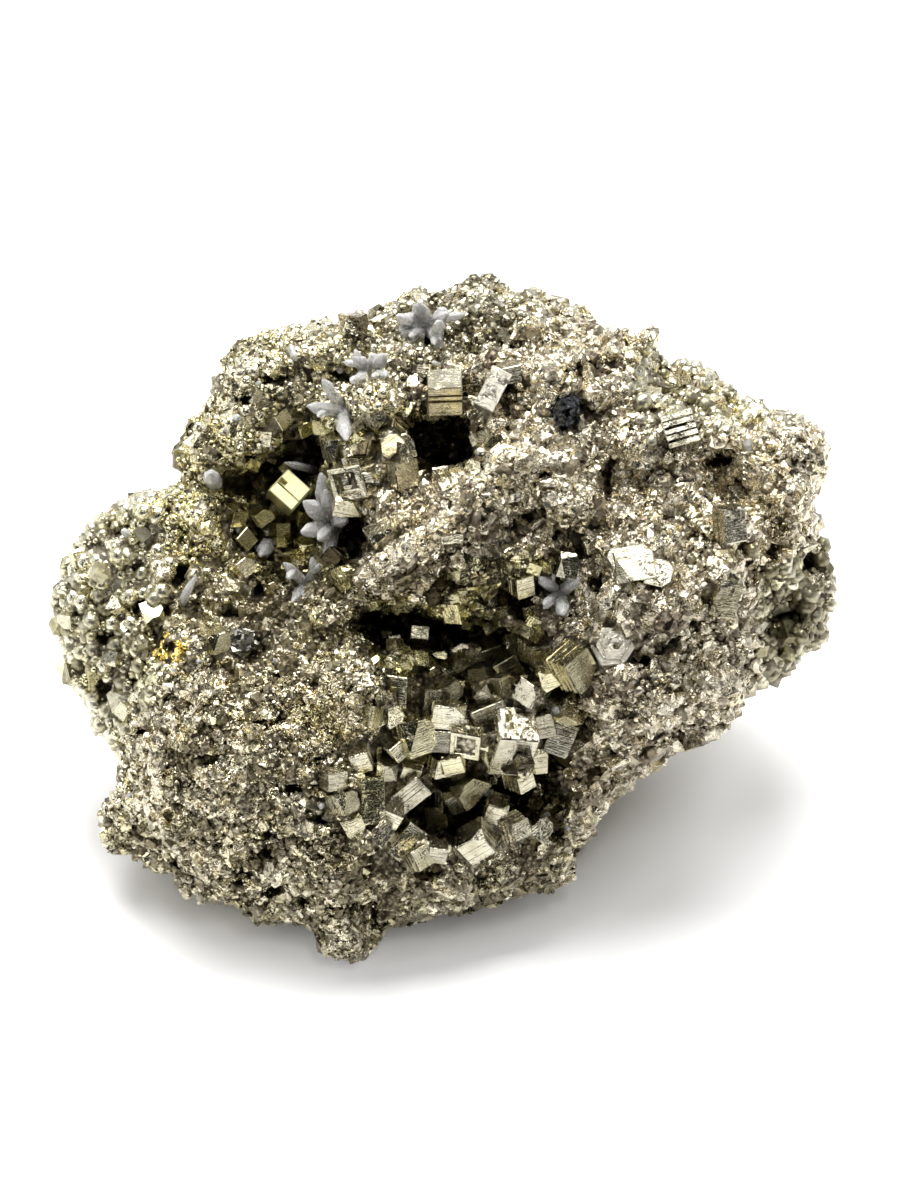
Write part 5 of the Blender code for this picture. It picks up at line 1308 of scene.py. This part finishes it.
def grow_coat(ob, rng):
    """Where grains grow: the skin face, size, place and zone of each, and whether it faces out."""
    middles, normals, areas = face_table(ob)
    skin_corners = np.empty(len(areas) * 4, dtype=np.int64)
    ob.data.polygons.foreach_get("vertices", skin_corners)
    skin_depth = core_sink[skin_corners.reshape(-1, 4)].mean(axis=1)
    places = face_places(middles)
    zone = zone_of(places)
    front = (normals @ np.array(FACE_OUT) > SHOW_SIDE) & (places[:, 2] > SHOW_LEVEL)
    sizes = np.where(front, np.array(zone_sizes)[zone], BACK_SIZE)
    wanted = areas / MM ** 2 / (sizes * GRAIN_SPACING) ** 2
    count = int(wanted.sum() * TRIES)
    faces = rng.choice(len(areas), size=count, p=wanted / wanted.sum())
    low, high = GRAIN_SPREAD
    size = sizes[faces] * (low + (high - low) * rng.random(count) ** LARGE_RARITY)
    points = middles[faces] + rng.normal(scale=GRAIN_STRAY, size=(count, 3)) * MM
    order = np.argsort(-size * rng.uniform(*TURN_TO_GROW, count))
    kept = order[thinned(points[order], size[order] * MM, GRAIN_SPACING)]
    faces, size, points = faces[kept], size[kept], points[kept]
    beaded = np.isin(zone_styles, ("beads", "knobs"))[zone[faces]]
    sink = np.where(front[faces], np.where(beaded, BEAD_SINK, GRAIN_SINK), BACK_SINK)
    points = points - normals[faces] * (size * sink * MM)[:, None]
    free = (points[:, 2] > size * FLOOR_ROOM * MM) & clear_of_crystals(points, size, all_boxes)
    free &= rng.random(len(size)) > (skin_depth[faces] - PIT_START) * PIT_BARE
    free &= ~in_hollows(face_places(points))
    off_ring = face_places(points)[:, :2] - RING_MIDDLE
    free &= np.hypot(off_ring[:, 0], off_ring[:, 1]) > RING_BARE
    faces = faces[free]
    return faces, size[free], points[free], zone[faces], front[faces]


grain_names = list(GRAIN_KINDS)
coat_rng = np.random.default_rng(COAT_SEED)
coat_face, coat_size, coat_point, coat_zone, coat_front = grow_coat(core, coat_rng)
coat_count = len(coat_size)
coat_kind = np.zeros(coat_count, dtype=np.int64)
patches = [(style, (coat_zone == number) & coat_front) for number, style in enumerate(zone_styles)]
patches.append(("coarse", ~coat_front))
for style, patch in patches:
    here = np.flatnonzero(patch)
    share = np.array([STYLES[style].get(kind, 0.0) for kind in grain_names])
    coat_kind[here] = coat_rng.choice(len(grain_names), size=len(here), p=share / share.sum())
coat_places = face_places(coat_point)
# The coat's tone carries the zones' tones, the painted shade deep in the hollows and the darker or lighter
# spots.
coat_tone_and_shade = np.where(coat_front, np.array(zone_tones_and_shade)[coat_zone], BACK_TONE)
# Lining grains deep in the hollows are darkened: painted shade.
lining = (np.array(zone_styles) == "crystals")[coat_zone] & coat_front
painted_depth_shade = np.clip((DEEP_LEVEL - coat_places[:, 2]) * DEEP_SHADE_TONE, 0.0, DEEPEST_SHADE_TONE)
coat_tone_and_shade += np.where(lining, painted_depth_shade, 0.0)
for *oval, added in TONE_SPOTS:
    apart = np.sqrt(oval_reach(coat_places, *oval))
    coat_tone_and_shade += np.where(coat_front, added * np.clip(SPOT_EDGE - apart, 0.0, 1.0), 0.0)
coat_tone_and_shade = np.clip(coat_tone_and_shade + coat_rng.normal(scale=COAT_TONE_SCATTER, size=coat_count), 0.0, 1.0)
coat_warmth = np.where(coat_front, np.array(zone_warmths)[coat_zone], BACK_WARMTH)
coat_warmth += coat_rng.normal(scale=COAT_WARMTH_SCATTER, size=coat_count)
coat_warmth = np.clip(coat_warmth, 0.0, 1.0)
coat_scale = coat_size[:, None] * MM * coat_rng.uniform(*GRAIN_STRETCH, size=(coat_count, 3))
coat_turn = random_turns(coat_rng, coat_count)
lying = np.flatnonzero(np.isin(coat_kind, [grain_names.index(kind) for kind in LYING_KINDS]))
coat_turn[lying] = lying_turns(coat_rng, face_table(core)[1][coat_face[lying]], GRAIN_LEAN)

coat_pyrite = pyrite_material(
    "coat_pyrite", ((0.74, 0.68, 0.52, 1.0), (0.74, 0.67, 0.40, 1.0), (0.15, 0.12, 0.075, 1.0)),
    tarnish_share=0.75, roughness=(0.09, 0.34), facet_tilt=0.8,
    line_depth=0.02 * MM, etched=0.8, waves=0.12 * MM)
foil_pyrite = pyrite_material(
    "foil_pyrite", ((0.72, 0.66, 0.52, 1.0), (0.72, 0.64, 0.40, 1.0), (0.14, 0.10, 0.065, 1.0)),
    tarnish_share=0.70, roughness=(0.14, 0.36), facet_tilt=0.55,
    line_depth=0.04 * MM, etched=0.8, waves=0.12 * MM)
bead_pyrite = pyrite_material(
    "bead_pyrite", ((0.74, 0.69, 0.52, 1.0), (0.74, 0.68, 0.40, 1.0), (0.14, 0.115, 0.065, 1.0)),
    tarnish_share=0.70, roughness=(0.07, 0.24), facet_tilt=0.22,
    line_depth=0.02 * MM, etched=0.35, waves=0.12 * MM)
knob_pyrite = pyrite_material(
    "knob_pyrite", ((0.70, 0.665, 0.52, 1.0), (0.70, 0.65, 0.40, 1.0), (0.17, 0.14, 0.08, 1.0)),
    tarnish_share=0.55, roughness=(0.20, 0.40), facet_tilt=0.12,
    line_depth=0.02 * MM, etched=0.20, waves=0.12 * MM)
# A darker copy of the coat pyrite, with a near-black tarnish, for the grains of the pocket and the vug:
# painted shade of the hollows.
lining_pyrite_painted_shade = pyrite_material(
    "lining_pyrite_painted_shade", ((0.58, 0.54, 0.41, 1.0), (0.64, 0.59, 0.33, 1.0), (0.07, 0.055, 0.03, 1.0)),
    tarnish_share=0.95, roughness=(0.05, 0.22), facet_tilt=0.10,
    line_depth=0.03 * MM, etched=0.7, waves=0.12 * MM)
# Coat pieces: name, the zones each covers, its material and its slot
COAT_PIECES = (
    ("grains_lower_left", ("lower_left", "ledge", "bottom_rim"), coat_pyrite, "pyrite_outer"),
    ("grains_left", ("upper_left", "left_wall", "top"), bead_pyrite, "pyrite_outer"),
    ("knobs_left_bulge", ("left_bulge",), knob_pyrite, "pyrite_outer"),
    ("grains_ridge", ("ridge", "upper_middle"), foil_pyrite, "pyrite_outer"),
    ("grains_right", ("right_mass", "right_ridge", "vug_lip"), foil_pyrite, "pyrite_outer"),
    ("knobs_back_ridge", ("back_ridge", "right_back"), knob_pyrite, "pyrite_outer"),
    ("grains_pocket", ("pocket", "pocket_top"), lining_pyrite_painted_shade, "pyrite_crystal"),
    ("grains_vug", ("cave", "shelf", "slit", "hollow_over_ridge", "ridge_foot"), lining_pyrite_painted_shade,
     "pyrite_crystal"),
)


def place_coat(name, chosen, material):
    """Make one piece of the coat from the chosen grains."""
    ob = joined_crystals(
        name, list(GRAIN_KINDS.values()), coat_kind[chosen], coat_point[chosen], coat_turn[chosen],
        coat_scale[chosen], coat_tone_and_shade[chosen], coat_warmth[chosen], coat_rng)
    ob.data.materials.append(material)
    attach(ob, "root")


for name, zones, material, slot in COAT_PIECES:
    wanted = np.isin(coat_zone, [zone_names.index(zone) for zone in zones]) & coat_front
    place_coat(name, wanted, material)
place_coat("grains_back", ~coat_front, coat_pyrite)

# ---------------------------------------------------------------------------
# Milky quartz: small bunches of blunt six-sided prisms, each drawn to a point, that
# grew out of the hollows over the pyrite; cloudy inside, a little lavender.
QUARTZ_CLUSTERS = {
    "quartz_top_cluster": (
        ((-2.4, 37.0, -3.0), (-5.9, 38.0, 2.2), 1.0), ((-2.4, 37.0, -3.0), (-3.2, 39.9, 2.6), 1.0),
        ((-2.2, 37.0, -3.0), (0.4, 38.6, 2.8), 0.9), ((-2.2, 36.8, -3.0), (-0.4, 35.3, 3.6), 0.9),
        ((-2.6, 36.8, -3.0), (-4.4, 35.8, 3.2), 0.8),
    ),
    "quartz_upper_tuft": (
        ((-9.3, 31.2, 2.4), (-11.5, 33.0, 7.0), 0.8), ((-9.3, 31.2, 2.4), (-7.8, 33.2, 7.0), 0.9),
        ((-9.3, 31.0, 2.4), (-11.2, 30.0, 7.8), 0.8), ((-9.3, 31.0, 2.4), (-7.3, 30.6, 8.0), 0.7),
    ),
    "quartz_wall_needles": (
        ((-12.9, 26.6, 1.8), (-15.3, 30.1, 7.4), 0.7), ((-12.9, 26.2, 1.8), (-17.2, 26.7, 8.6), 0.85),
        ((-12.9, 26.0, 1.8), (-12.2, 22.4, 8.4), 1.1),
    ),
    "quartz_pocket_column": (
        ((-14.0, 11.6, -1.0), (-15.6, 18.4, 6.4), 1.2), ((-14.0, 12.0, -1.0), (-17.6, 14.8, 7.6), 1.0),
        ((-13.8, 12.0, -1.0), (-17.9, 11.0, 7.6), 0.9), ((-14.0, 12.4, -1.0), (-12.4, 12.6, 9.6), 1.0),
        ((-14.0, 12.0, -1.0), (-14.8, 7.2, 7.0), 0.85), ((-14.2, 12.6, 0.0), (-15.0, 16.4, 7.4), 1.1),
        ((-14.0, 12.0, 0.0), (-15.8, 10.0, 8.0), 0.9),
    ),
    "quartz_pocket_star": (
        ((-17.4, 4.4, -0.4), (-20.2, 7.2, 6.8), 0.75), ((-17.4, 4.4, -0.4), (-15.6, 7.0, 7.4), 0.7),
        ((-17.4, 4.4, -0.4), (-19.2, 2.2, 7.0), 0.75), ((-17.3, 4.4, -0.4), (-14.4, 3.4, 6.8), 0.8),
    ),
    "quartz_cave_needle": (((-16.2, 18.9, -6.0), (-20.2, 19.8, 1.6), 0.5),),
    "quartz_left_needle": (((-33.3, 1.6, 3.4), (-31.1, 5.7, 9.0), 0.55),),
    "quartz_ridge_star": (
        ((14.2, 3.4, 8.0), (11.8, 5.4, 13.4), 0.8), ((14.2, 3.4, 8.0), (16.7, 5.2, 13.4), 0.9),
        ((14.2, 3.3, 8.0), (12.3, 1.9, 13.4), 0.7), ((14.2, 3.3, 8.0), (14.8, 0.7, 13.4), 0.8),
    ),
    "quartz_vug_point": (((10.4, -0.9, 0.6), (9.2, -3.1, 7.0), 0.8),),
    "quartz_rim_point": (((-29.1, 17.2, -1.0), (-29.5, 18.4, 4.6), 1.0),),
    "quartz_pocket_point": (((-22.6, 9.4, -6.4), (-23.3, 8.0, -0.2), 1.0),),
}
QUARTZ_SEED = 17
QUARTZ_GROWTH = 1.18                           # visible width of a prism over its core's
SPIN = 6.28                                    # prisms are spun up to a full turn
PRISM_FLATNESS = (0.8, 1.0)
SIDE_PRISMS = 1                                # small prisms on each large one of a bunch
SIDE_START = (0.3, 0.65)                       # they leave it this far up
SIDE_LENGTH = (0.22, 0.36)
SIDE_WIDTH = (0.5, 0.85)
SIDE_SWING = 0.45                              # how far they lean away from it, over their length
POINT_LEAN = 0.8                               # how far the lone points lean off the line of sight
POINT_SEAT = 0.25                              # share of a lone point that is sunk in the skin
CROWDED = {"quartz_top_cluster": 6, "quartz_upper_tuft": 6, "quartz_pocket_column": 0}
# Small lone quartz points seated on the skin: (u, v, width, length) in millimetres
QUARTZ_POINTS = (
    (-19.2, 33.8, 1.2, 2.2), (-26.3, 25.4, 1.3, 2.6), (-28.0, 23.6, 1.0, 2.0), (-39.8, 10.7, 1.3, 2.4),
    (-33.3, -6.5, 0.8, 2.2), (-31.0, -5.2, 0.9, 1.8), (-20.8, -5.5, 0.9, 2.0), (-39.5, -21.8, 0.9, 1.6),
    (-26.2, 12.3, 1.2, 2.4), (-23.0, 9.0, 1.2, 2.4), (13.7, -11.3, 1.9, 2.6), (10.6, -22.0, 1.4, 2.4),
    (5.6, -21.7, 1.1, 1.8), (-15.2, -23.0, 0.9, 1.6), (28.0, -10.7, 1.1, 1.8), (37.8, 21.2, 1.3, 2.2),
    (0.6, -0.3, 1.4, 2.4), (-1.0, 32.0, 0.9, 1.6), (-23.6, 29.6, 0.9, 1.6), (12.6, -24.8, 1.6, 2.0),
    (-13.4, 31.8, 1.0, 1.8), (-14.4, 35.8, 1.1, 1.6), (-3.6, 35.4, 1.0, 1.8), (15.4, -26.0, 1.2, 1.8),
)


def quartz_prism(seed, tip, waist):
    """A six-sided prism that narrows a little and ends in a blunt six-sided point."""
    rng = random.Random(seed)
    bpy.ops.object.select_all(action='DESELECT')
    bpy.ops.mesh.primitive_cylinder_add(vertices=6, radius=0.5, depth=1.0)
    ob = bpy.context.object
    bpy.ops.object.mode_set(mode='EDIT')
    pick_faces(ob, lambda face: face.normal.z > SQUARE_ON)
    bpy.ops.transform.translate(value=(0.0, 0.0, -tip))
    bpy.ops.transform.resize(value=(waist, waist, 1.0))
    for share in (0.62, 0.30):
        move = (rng.uniform(-0.03, 0.03), rng.uniform(-0.03, 0.03), tip / 2.0)
        bpy.ops.mesh.extrude_region_move(TRANSFORM_OT_translate={"value": move})
        bpy.ops.transform.resize(value=(share, share, 1.0))
    bpy.ops.mesh.select_all(action='SELECT')
    bpy.ops.mesh.bevel(offset=0.035, segments=1, affect='EDGES')
    bpy.ops.transform.vertex_random(offset=0.012, seed=seed)
    return finish_crystal(ob)


def along_turn(direction, spin):
    """Rotation that lays a prism's long axis along this direction."""
    turn = Vector(direction).to_track_quat('Z', 'Y') @ Quaternion((0.0, 0.0, 1.0), spin)
    return np.array(turn.to_matrix())


def quartz_piece(name, prisms, rng):
    """Join prisms, each given by foot, point and width in metres, into one piece."""
    middles, turns, scales = [], [], []
    for foot, point, width in prisms:
        reach = point - foot
        middles.append((foot + point) / 2.0)
        turns.append(along_turn(reach, rng.uniform(0.0, SPIN)))
        scales.append((width, width * rng.uniform(*PRISM_FLATNESS), np.linalg.norm(reach)))
    count = len(prisms)
    ob = joined_crystals(
        name, QUARTZ_KINDS, rng.integers(0, len(QUARTZ_KINDS), count), np.array(middles),
        np.array(turns), np.array(scales), rng.uniform(0.0, 1.0, count), np.zeros(count), rng)
    ob.data.materials.append(milky_quartz)
    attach(ob, "root")
    return ob


def quartz_veil_group():
    """Cloudy white veils, wear and cross lines of milky quartz."""
    group = bpy.data.node_groups.new("quartz_veils", 'ShaderNodeTree')
    shader_socket(group, "Clear", 'NodeSocketColor', 'INPUT', (0.86, 0.845, 0.825, 1.0))
    shader_socket(group, "Milk", 'NodeSocketColor', 'INPUT', (0.95, 0.94, 0.905, 1.0))
    shader_socket(group, "Color", 'NodeSocketColor', 'OUTPUT')
    shader_socket(group, "Roughness", 'NodeSocketFloat', 'OUTPUT')
    shader_socket(group, "Height", 'NodeSocketFloat', 'OUTPUT')
    given = group.nodes.new("NodeGroupInput")
    made = group.nodes.new("NodeGroupOutput")
    place = group.nodes.new("ShaderNodeTexCoord").outputs["Object"]
    tone = add_node(group, "ShaderNodeAttribute", attribute_name="tone").outputs["Fac"]
    veils = add_node(group, "ShaderNodeTexNoise", Scale=900.0, Detail=4.0, Roughness=0.6)
    group.links.new(place, veils.inputs["Vector"])
    cloud = math_node(group, 'ADD', veils.outputs["Fac"], math_node(group, 'MULTIPLY', tone, 0.3))
    cloud = spread(group, cloud, 0.48, 0.82)
    colour = mixed(group, cloud, given.outputs["Clear"], given.outputs["Milk"])
    group.links.new(colour, made.inputs["Color"])
    rough = spread(group, veils.outputs["Fac"], 0.35, 0.7, 0.16, 0.42)
    group.links.new(rough, made.inputs["Roughness"])
    bumps = add_node(group, "ShaderNodeTexNoise", Scale=2600.0, Detail=3.0, Roughness=0.6)
    group.links.new(place, bumps.inputs["Vector"])
    rise = math_node(group, 'MULTIPLY', bumps.outputs["Fac"], 0.05 * MM)
    facets = math_node(group, 'MULTIPLY', micro_facets(group, place, 1300.0), 0.25)
    rise = math_node(group, 'ADD', rise, facets)
    group.links.new(rise, made.inputs["Height"])
    return group


milky_quartz = bpy.data.materials.new("milky_quartz_veiled")
milky_quartz.use_nodes = True
quartz_tree = milky_quartz.node_tree
quartz_shader = quartz_tree.nodes["Principled BSDF"]
quartz_shader.inputs["Metallic"].default_value = 0.0
quartz_shader.inputs["Transmission Weight"].default_value = 0.45
quartz_shader.inputs["IOR"].default_value = 1.544
quartz_shader.inputs["Subsurface Weight"].default_value = 0.4
quartz_shader.inputs["Subsurface Radius"].default_value = (1.0, 0.95, 1.0)
quartz_shader.inputs["Subsurface Scale"].default_value = 1.5 * MM
quartz_veils = quartz_tree.nodes.new("ShaderNodeGroup")
quartz_veils.node_tree = quartz_veil_group()
quartz_bump = add_node(quartz_tree, "ShaderNodeBump", Strength=1.0, Distance=1.0)
quartz_tree.links.new(quartz_veils.outputs["Color"], quartz_shader.inputs["Base Color"])
quartz_tree.links.new(quartz_veils.outputs["Roughness"], quartz_shader.inputs["Roughness"])
quartz_tree.links.new(quartz_veils.outputs["Height"], quartz_bump.inputs["Height"])
quartz_tree.links.new(quartz_bump.outputs["Normal"], quartz_shader.inputs["Normal"])
QUARTZ_KINDS = [quartz_prism(41, 0.32, 0.94), quartz_prism(42, 0.24, 1.0), quartz_prism(43, 0.40, 0.90)]

quartz_rng = np.random.default_rng(QUARTZ_SEED)
for node, rows in QUARTZ_CLUSTERS.items():
    prisms = []
    for foot, point, radius in rows:
        foot_place, point_place = np.array(spot(*foot)), np.array(spot(*point))
        reach = point_place - foot_place
        width = 2.0 * radius * QUARTZ_GROWTH * MM
        prisms.append((foot_place, point_place, width))
        for _ in range(CROWDED.get(node, SIDE_PRISMS) if len(rows) > 1 else 0):
            start = foot_place + reach * quartz_rng.uniform(*SIDE_START)
            sprout = reach * quartz_rng.uniform(*SIDE_LENGTH)
            swing = quartz_rng.normal(scale=SIDE_SWING * np.linalg.norm(sprout), size=3)
            prisms.append((start, start + sprout + swing, width * quartz_rng.uniform(*SIDE_WIDTH)))
    piece = quartz_piece(node + "_prisms", prisms, quartz_rng)
    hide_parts(node)
lone_points = []
skin_tree = BVHTree.FromObject(core, bpy.context.evaluated_depsgraph_get())
for u, v, width, length in QUARTZ_POINTS:
    way = Vector(quartz_rng.uniform(-POINT_LEAN, POINT_LEAN, 3)) + FACE_OUT * POINT_LEAN
    way.normalize()
    foot_place = probe(skin_tree, u, v) - way * (POINT_SEAT * length * MM)
    lone_points.append((np.array(foot_place), np.array(foot_place + way * (length * MM)), width * MM))
quartz_piece("quartz_points", lone_points, quartz_rng)

# ---------------------------------------------------------------------------
# Dark grey-blue sulphide: two small clumps of dull angular grains that crystallised
# among the pyrite and sit half sunk in its coat; the left one is partly altered paler.
DARK_SEED = 29
DARK_GRAINS = 26
DARK_WIDTH = (0.30, 0.62)                      # width of a grain, as a share of the clump's
DARK_STRETCH = (0.7, 1.2)
DARK_OUT = 0.72                                # how far out the grains sit, as a share of the clump
DARK_TONES = 0.4                               # grains are at most this much fresher than the most altered


def dark_metal():
    """Dull blue-grey metal with a scaly skin."""
    material = bpy.data.materials.new("dark_sulphide_grains")
    material.use_nodes = True
    tree = material.node_tree
    shader = tree.nodes["Principled BSDF"]
    shader.inputs["Metallic"].default_value = 1.0
    place = tree.nodes.new("ShaderNodeTexCoord").outputs["Object"]
    mottle = add_node(tree, "ShaderNodeTexNoise", Scale=1500.0, Detail=4.0, Roughness=0.65)
    tree.links.new(place, mottle.inputs["Vector"])
    share = spread(tree, mottle.outputs["Fac"], 0.35, 0.7)
    colour = mixed(tree, share, (0.025, 0.026, 0.029, 1.0), (0.15, 0.155, 0.165, 1.0))
    tone = add_node(tree, "ShaderNodeAttribute", attribute_name="tone").outputs["Fac"]
    colour = mixed(tree, spread(tree, tone, 0.4, 1.0), colour, (0.46, 0.44, 0.38, 1.0))
    tree.links.new(colour, shader.inputs["Base Color"])
    rough = spread(tree, mottle.outputs["Fac"], 0.3, 0.7, 0.14, 0.40)
    tree.links.new(rough, shader.inputs["Roughness"])
    bump = add_node(tree, "ShaderNodeBump", Strength=1.0, Distance=1.0)
    rise = math_node(tree, 'MULTIPLY', micro_facets(tree, place, 1800.0), 0.6)
    tree.links.new(rise, bump.inputs["Height"])
    tree.links.new(bump.outputs["Normal"], shader.inputs["Normal"])
    return material


dark_sulphide = dark_metal()
dark_rng = np.random.default_rng(DARK_SEED)
dark_shapes = [GRAIN_KINDS[kind] for kind in ("chip_a", "chip_b", "clipped_b", "stepped")]
for node, altered in (("dark_grain_upper", 0.5), ("dark_grain_left", 1.0)):
    low, high = (np.array(corner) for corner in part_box(node))
    half = (high - low) / 2.0
    ways = dark_rng.normal(size=(DARK_GRAINS, 3))
    ways /= np.linalg.norm(ways, axis=1)[:, None]
    wide = dark_rng.uniform(*DARK_WIDTH, DARK_GRAINS) * half.mean() * 2.0
    spots = (low + high) / 2.0 + ways * (half * DARK_OUT)
    kinds = dark_rng.integers(0, len(dark_shapes), DARK_GRAINS)
    turns = random_turns(dark_rng, DARK_GRAINS)
    scales = wide[:, None] * dark_rng.uniform(*DARK_STRETCH, (DARK_GRAINS, 3))
    tones = dark_rng.uniform(altered - DARK_TONES, altered, DARK_GRAINS)
    clump = joined_crystals(
        node + "_grains", dark_shapes, kinds, spots, turns, scales, tones, np.zeros(DARK_GRAINS),
        dark_rng)
    clump.data.materials.append(dark_sulphide)
    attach(clump, "root")
    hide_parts(node)

# ---------------------------------------------------------------------------
# The golden ring: beads of bright yellow pyrite that grew round a small pit of the left
# ledge, rounder than the coat beside them and with less tarnish on them.
RING_SEED = 31
RING_WIDE = (1.15, 1.05)                       # half width and half height of the ring, millimetres
RING_BEADS = 14
BEAD_WIDTH = (0.6, 1.0)
BEAD_STRETCH = (0.8, 1.3)
BEAD_TONE = (0.0, 0.3)
BEAD_RISE = (0.35, 0.75)                       # how far the beads stand out of the ledge, millimetres
BEAD_STRAY = 0.15                              # how far they stray round the ring, in radians
BEAD_OUT = (0.85, 1.15)                        # and off its line, as a share of its width
FALLEN_OUT = 1.5                               # a fallen bead lies this far out of the ring's middle
FALLEN_EVERY = 4                               # one bead in so many has fallen
LEDGE_REACH = 1.9                              # the ledge's level is taken this far round the pit
LEDGE_PROBES = 12


def ring_of_beads():
    """Beads seated round the pit, a few fallen outside it."""
    rng = np.random.default_rng(RING_SEED)
    around = []
    for angle in np.linspace(0.0, 2.0 * math.pi, LEDGE_PROBES, endpoint=False):
        u = RING_MIDDLE[0] + LEDGE_REACH * math.cos(angle)
        v = RING_MIDDLE[1] + LEDGE_REACH * math.sin(angle)
        around.append(face_places(np.array([probe(skin_tree, u, v)]))[0])
    around = np.array(around)
    flat = np.column_stack((around[:, :2], np.ones(LEDGE_PROBES)))
    ledge = np.linalg.lstsq(flat, around[:, 2], rcond=None)[0]
    places = []
    for number in range(RING_BEADS):
        angle = 2.0 * math.pi * number / RING_BEADS + rng.uniform(-BEAD_STRAY, BEAD_STRAY)
        out = rng.uniform(*BEAD_OUT) if number % FALLEN_EVERY else FALLEN_OUT
        u = RING_MIDDLE[0] + RING_WIDE[0] * out * math.cos(angle)
        v = RING_MIDDLE[1] + RING_WIDE[1] * out * math.sin(angle)
        places.append(np.array(spot(u, v, ledge @ (u, v, 1.0) + rng.uniform(*BEAD_RISE))))
    wide = rng.uniform(*BEAD_WIDTH, RING_BEADS) * MM
    shapes = [GRAIN_KINDS[kind] for kind in ("blunt_a", "blunt_b", "clipped_a", "chip_a")]
    kinds = rng.integers(0, len(shapes), RING_BEADS)
    turns = random_turns(rng, RING_BEADS)
    scales = wide[:, None] * rng.uniform(*BEAD_STRETCH, (RING_BEADS, 3))
    tones = rng.uniform(*BEAD_TONE, RING_BEADS)
    ob = joined_crystals(
        "golden_ring", shapes, kinds, np.array(places), turns, scales, tones, np.ones(RING_BEADS), rng)
    ob.data.materials.append(pyrite_material(
        "golden_pyrite", ((0.80, 0.66, 0.26, 1.0), (0.84, 0.66, 0.20, 1.0), (0.22, 0.14, 0.03, 1.0)),
        tarnish_share=0.35, roughness=(0.08, 0.22), facet_tilt=0.25,
        line_depth=0.0, etched=0.4, waves=0.12 * MM))
    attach(ob, "root")


ring_of_beads()
